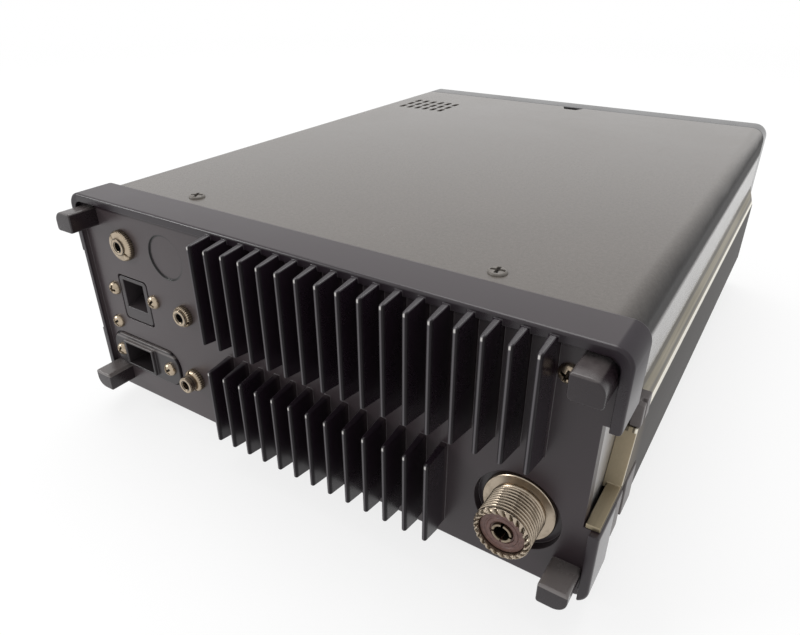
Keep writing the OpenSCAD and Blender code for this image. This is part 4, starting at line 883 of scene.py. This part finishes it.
SPINS = (0.35, 1.0, 0.7, 0.15, 0.9, 0.5, 0.25, 0.6)
SHANK_R = 1.5
PANEL_HEAD, PANEL_POWER, PANEL_ARM = (2.6, 2.0), 2.3, (1.55, 0.34, 1.1)
COVER_HEAD, COVER_POWER, COVER_ARM = (2.75, 0.9), 5.0, (1.95, 0.42, 1.25)
HALFWAY_UP = 40
panel_heads, cover_heads = [], []
for (low, high), spin in zip(solids_of("panel_screws"), SPINS):
    x, _, z = (low + high) / 2
    centre = (x, high[1] - PANEL_HEAD[1], z)
    shank = (SHANK_R, high[1] - low[1] - PANEL_HEAD[1])
    panel_heads.append(cross_screw(centre, "+y", PANEL_HEAD, PANEL_POWER, PANEL_ARM, spin, shank))
for (low, high), spin in zip(solids_of("cover_screws"), SPINS):
    x, y, _ = (low + high) / 2
    on_top = low[2] > HALFWAY_UP
    centre = (x, y, high[2] - COVER_HEAD[1] if on_top else low[2] + COVER_HEAD[1])
    shank = (SHANK_R, high[2] - low[2] - COVER_HEAD[1])
    axis = "+z" if on_top else "-z"
    cover_heads.append(cross_screw(centre, axis, COVER_HEAD, COVER_POWER, COVER_ARM, spin, shank))
for node, heads in (("panel_screws", panel_heads), ("cover_screws", cover_heads)):
    grids, crosses = zip(*heads)
    # the crosses go to the shader as painted shade
    put_in_scene("cross_" + node, woven("cross_" + node, grids, False, crosses), node)
print("screws:", len(panel_heads), "on the panel,", len(cover_heads), "in the covers")

# %% [markdown]
# ## Rear feet
# A foot is a bar that stands out behind the panel. Its outline is a rectangle with one
# large round corner, the one nearest to the corner of the set, and three small ones. It
# is as high as the plate of the power socket leaves room for. A corner with radius $r$
# round the centre $c$ gives the points $c + (r - i)(\cos t, \sin t)$ over a quarter
# turn, and the flats lie between the corners. The inset $i$ is nought along the bar and
# grows over its rounded end.

# %% Rear feet
FOOT_TALL = 7.0
FOOT_CORNERS = (3.8, 0.8, 1.2, 1.0)
FOOT_END = 0.45


def foot_bar(low, high):
    """Grid of one foot: points c + (r - i)(cos t, sin t), a row for each inset i and place y."""
    side = np.sign(low[0])
    up = np.sign((low + high - casting_low - casting_high)[2])
    wide = high[0] - low[0]
    radius = np.array(FOOT_CORNERS)[:, None]
    edge = np.array([(wide, FOOT_TALL), (0, FOOT_TALL), (0, 0), (wide, 0)])
    centre = edge - radius * np.array([(1, 1), (-1, 1), (-1, -1), (1, -1)])
    turn = np.linspace(0, math.pi / 2, 9) + np.arange(4)[:, None] * math.pi / 2
    bend = np.linspace(0, math.pi / 2, 6)
    inset = np.concatenate([[0], FOOT_END * (1 - np.cos(bend))])[:, None, None]
    place = np.concatenate([[low[1]], high[1] - FOOT_END * (1 - np.sin(bend))])
    u = (centre[:, :1] + (radius - inset) * np.cos(turn)).reshape(len(place), -1)
    v = (centre[:, 1:] + (radius - inset) * np.sin(turn)).reshape(len(place), -1)
    u, v = (np.vstack([0 * a[:1] + a.mean(), a, 0 * a[:1] + a.mean()]) for a in (u, v))
    y = np.concatenate([place[:1], place, place[-1:]])[:, None] + 0 * u
    x = side * (min(abs(low[0]), abs(high[0])) + u)
    z = (high[2] - FOOT_TALL if up > 0 else low[2] + FOOT_TALL) + up * v
    return np.stack([x, y, z], axis=-1) * MM


feet = [foot_bar(low, high) for low, high in solids_of("rear_feet")]
mesh = woven("rear_foot_bars", feet, False)
piece = put_in_scene("rear_foot_bars", mesh, "rear_feet")
piece.modifiers.new("normals", "WEIGHTED_NORMAL").weight = BY_AREA
print("rear feet:", len(feet))

# %% [markdown]
# ## Markers and display segments
# Straight bars are boxes given by a middle and half sizes. Three of them fill the
# marker grooves of the knobs. The display has a row of plain seven-part figures,
# all parts shown, as on a set that is switched off.

# %% Bars
def bars(name, middles, halves):
    """Mesh of boxes: corner = middle + sign * half size, for the eight signs of each."""
    signs = np.array([(x, y, z) for x in (-1, 1) for y in (-1, 1) for z in (-1, 1)])
    corners = (np.array(middles)[:, None] + signs * np.array(halves)[:, None]) * MM
    quads = np.array([(0, 1, 3, 2), (4, 6, 7, 5), (0, 4, 5, 1), (2, 3, 7, 6), (0, 2, 6, 4), (1, 5, 7, 3)])
    faces = (np.arange(len(corners))[:, None, None] * 8 + quads).reshape(-1, 4)
    mesh = bpy.data.meshes.new(name)
    mesh.from_pydata(corners.reshape(-1, 3).tolist(), [], faces.tolist())
    return mesh


MARKER_HALF_X = 0.47
MARKER_HALF_Y = 0.25
MARKER_FRONT = 0.34
for knob in ("volume_knob", "rit_knob", "mode_knob"):
    low, high = box_mm(knob)
    x, _, z = (low + high) / 2
    r = (high[0] - low[0]) / 2
    half_long = (0.7 * r - 1.1) / 2
    middle = (x, low[1] + MARKER_FRONT, z + 0.3 * r + half_long + 0.05)
    mesh = bars(knob + "_marker", [middle], [(MARKER_HALF_X, MARKER_HALF_Y, half_long)])
    put_in_scene(knob + "_marker", mesh, knob, finish=marking.material, stands_for_it=False)

FIGURES = 7
TALL = 11.0
BROAD = 5.4
SLANT = 0.12
MARGIN = 7
HALF_STROKE = 0.45
HALF_THICK = 0.05
GAP = 0.6
low, high = box_mm("display_module")
across = np.linspace(low[0] + MARGIN, high[0] - MARGIN, FIGURES)
part_x = np.array([0, 0, 0, -1, 1, -1, 1]) * BROAD / 2
part_z = np.array([-1, 0, 1, -0.5, -0.5, 0.5, 0.5]) * TALL / 2
long_x = np.array([1, 1, 1, 0, 0, 0, 0], bool)
middles = np.empty((FIGURES, 7, 3))
middles[..., 0] = across[:, None] + part_x + SLANT * part_z
middles[..., 1] = low[1] - 0.06
middles[..., 2] = (low[2] + high[2]) / 2 + part_z
lying = (BROAD / 2 - GAP, HALF_THICK, HALF_STROKE)
standing = (HALF_STROKE, HALF_THICK, TALL / 4 - GAP)
halves = np.where(long_x[:, None], lying, standing)
mesh = bars("display_figures", middles.reshape(-1, 3), np.tile(halves, (FIGURES, 1)))
put_in_scene("display_figures", mesh, "display_module", finish=segment.material, stands_for_it=False)
print("display:", FIGURES, "figures of seven parts")

# %% [markdown]
# ## Floor, light and background
# The set stands on a pale sheet in even, soft light, so its shadow is faint and the
# background is white. The world lights everything at a plain level, and a large lamp
# overhead and a smaller one from the left give the shapes some direction. Rays that
# the camera, a gloss or a glass sends out meet a white world of strength 1.

# %% Floor
FLOOR = 9.0
GLOW_NEAR = 0.78
GLOW_FROM = 0.35
GLOW_FULL = 1.4
floor_mesh = bpy.data.meshes.new("floor")
floor_mesh.from_pydata(
    [(-FLOOR, -FLOOR, 0), (FLOOR, -FLOOR, 0), (FLOOR, FLOOR, 0), (-FLOOR, FLOOR, 0)],
    [], [(0, 1, 2, 3)])
floor = bpy.data.objects.new("floor", floor_mesh)
bpy.context.scene.collection.objects.link(floor)
sheet = Finish("floor_sheet", Roughness=0.9, Specular_IOR_Level=0.1)
sheet.to("Base Color", sheet.colours((0.90, 0.90, 0.90), (0.93, 0.93, 0.93), sheet.grain(3)))
floor_mesh.materials.append(sheet.material)
away = sheet.node("VectorMath", {"operation": "LENGTH"}, {0: sheet.place}, "Value")
far = sheet.between(away, GLOW_FROM, GLOW_FULL)
glow = sheet.node("Emission", {}, {"Color": (1, 1, 1, 1), "Strength": 1.0})
sheet.over(far * (1 - GLOW_NEAR) + GLOW_NEAR, glow)
print("floor:", 2 * FLOOR, "m wide")

# %% World and lamps
world = bpy.data.worlds.new("studio")
world.use_nodes = True
bpy.context.scene.world = world
sky = Tree(world.node_tree)
ray = sky.node("LightPath").socket.node
seen = Wire(sky.tree, ray.outputs["Is Camera Ray"])
for name in ("Is Glossy Ray", "Is Transmission Ray"):
    seen = sky.node("Math", {"operation": "MAXIMUM"}, {0: seen, 1: Wire(sky.tree, ray.outputs[name])})
backdrop = world.node_tree.nodes["Background"]
backdrop.inputs["Color"].default_value = (1, 1, 1, 1)
AMBIENT = 0.62
strength = seen * (1 - AMBIENT) + AMBIENT
sky.tree.links.new(strength.socket, backdrop.inputs["Strength"])


def softbox(name, place, target, size, watts):
    """Square area lamp at a place, turned towards a target."""
    lamp = bpy.data.lights.new(name, "AREA")
    lamp.shape = "SQUARE"
    lamp.size = size
    lamp.energy = watts
    made = bpy.data.objects.new(name, lamp)
    made.location = place
    made.rotation_mode = "QUATERNION"
    made.rotation_quaternion = (Vector(target) - Vector(place)).to_track_quat("-Z", "Y")
    bpy.context.scene.collection.objects.link(made)


softbox("overhead", (0.25, -0.35, 1.5), (0, 0, 0), 1.2, 16)
softbox("left_fill", (1.1, 0.9, 0.7), (0, 0.1, 0.04), 0.36, 6)
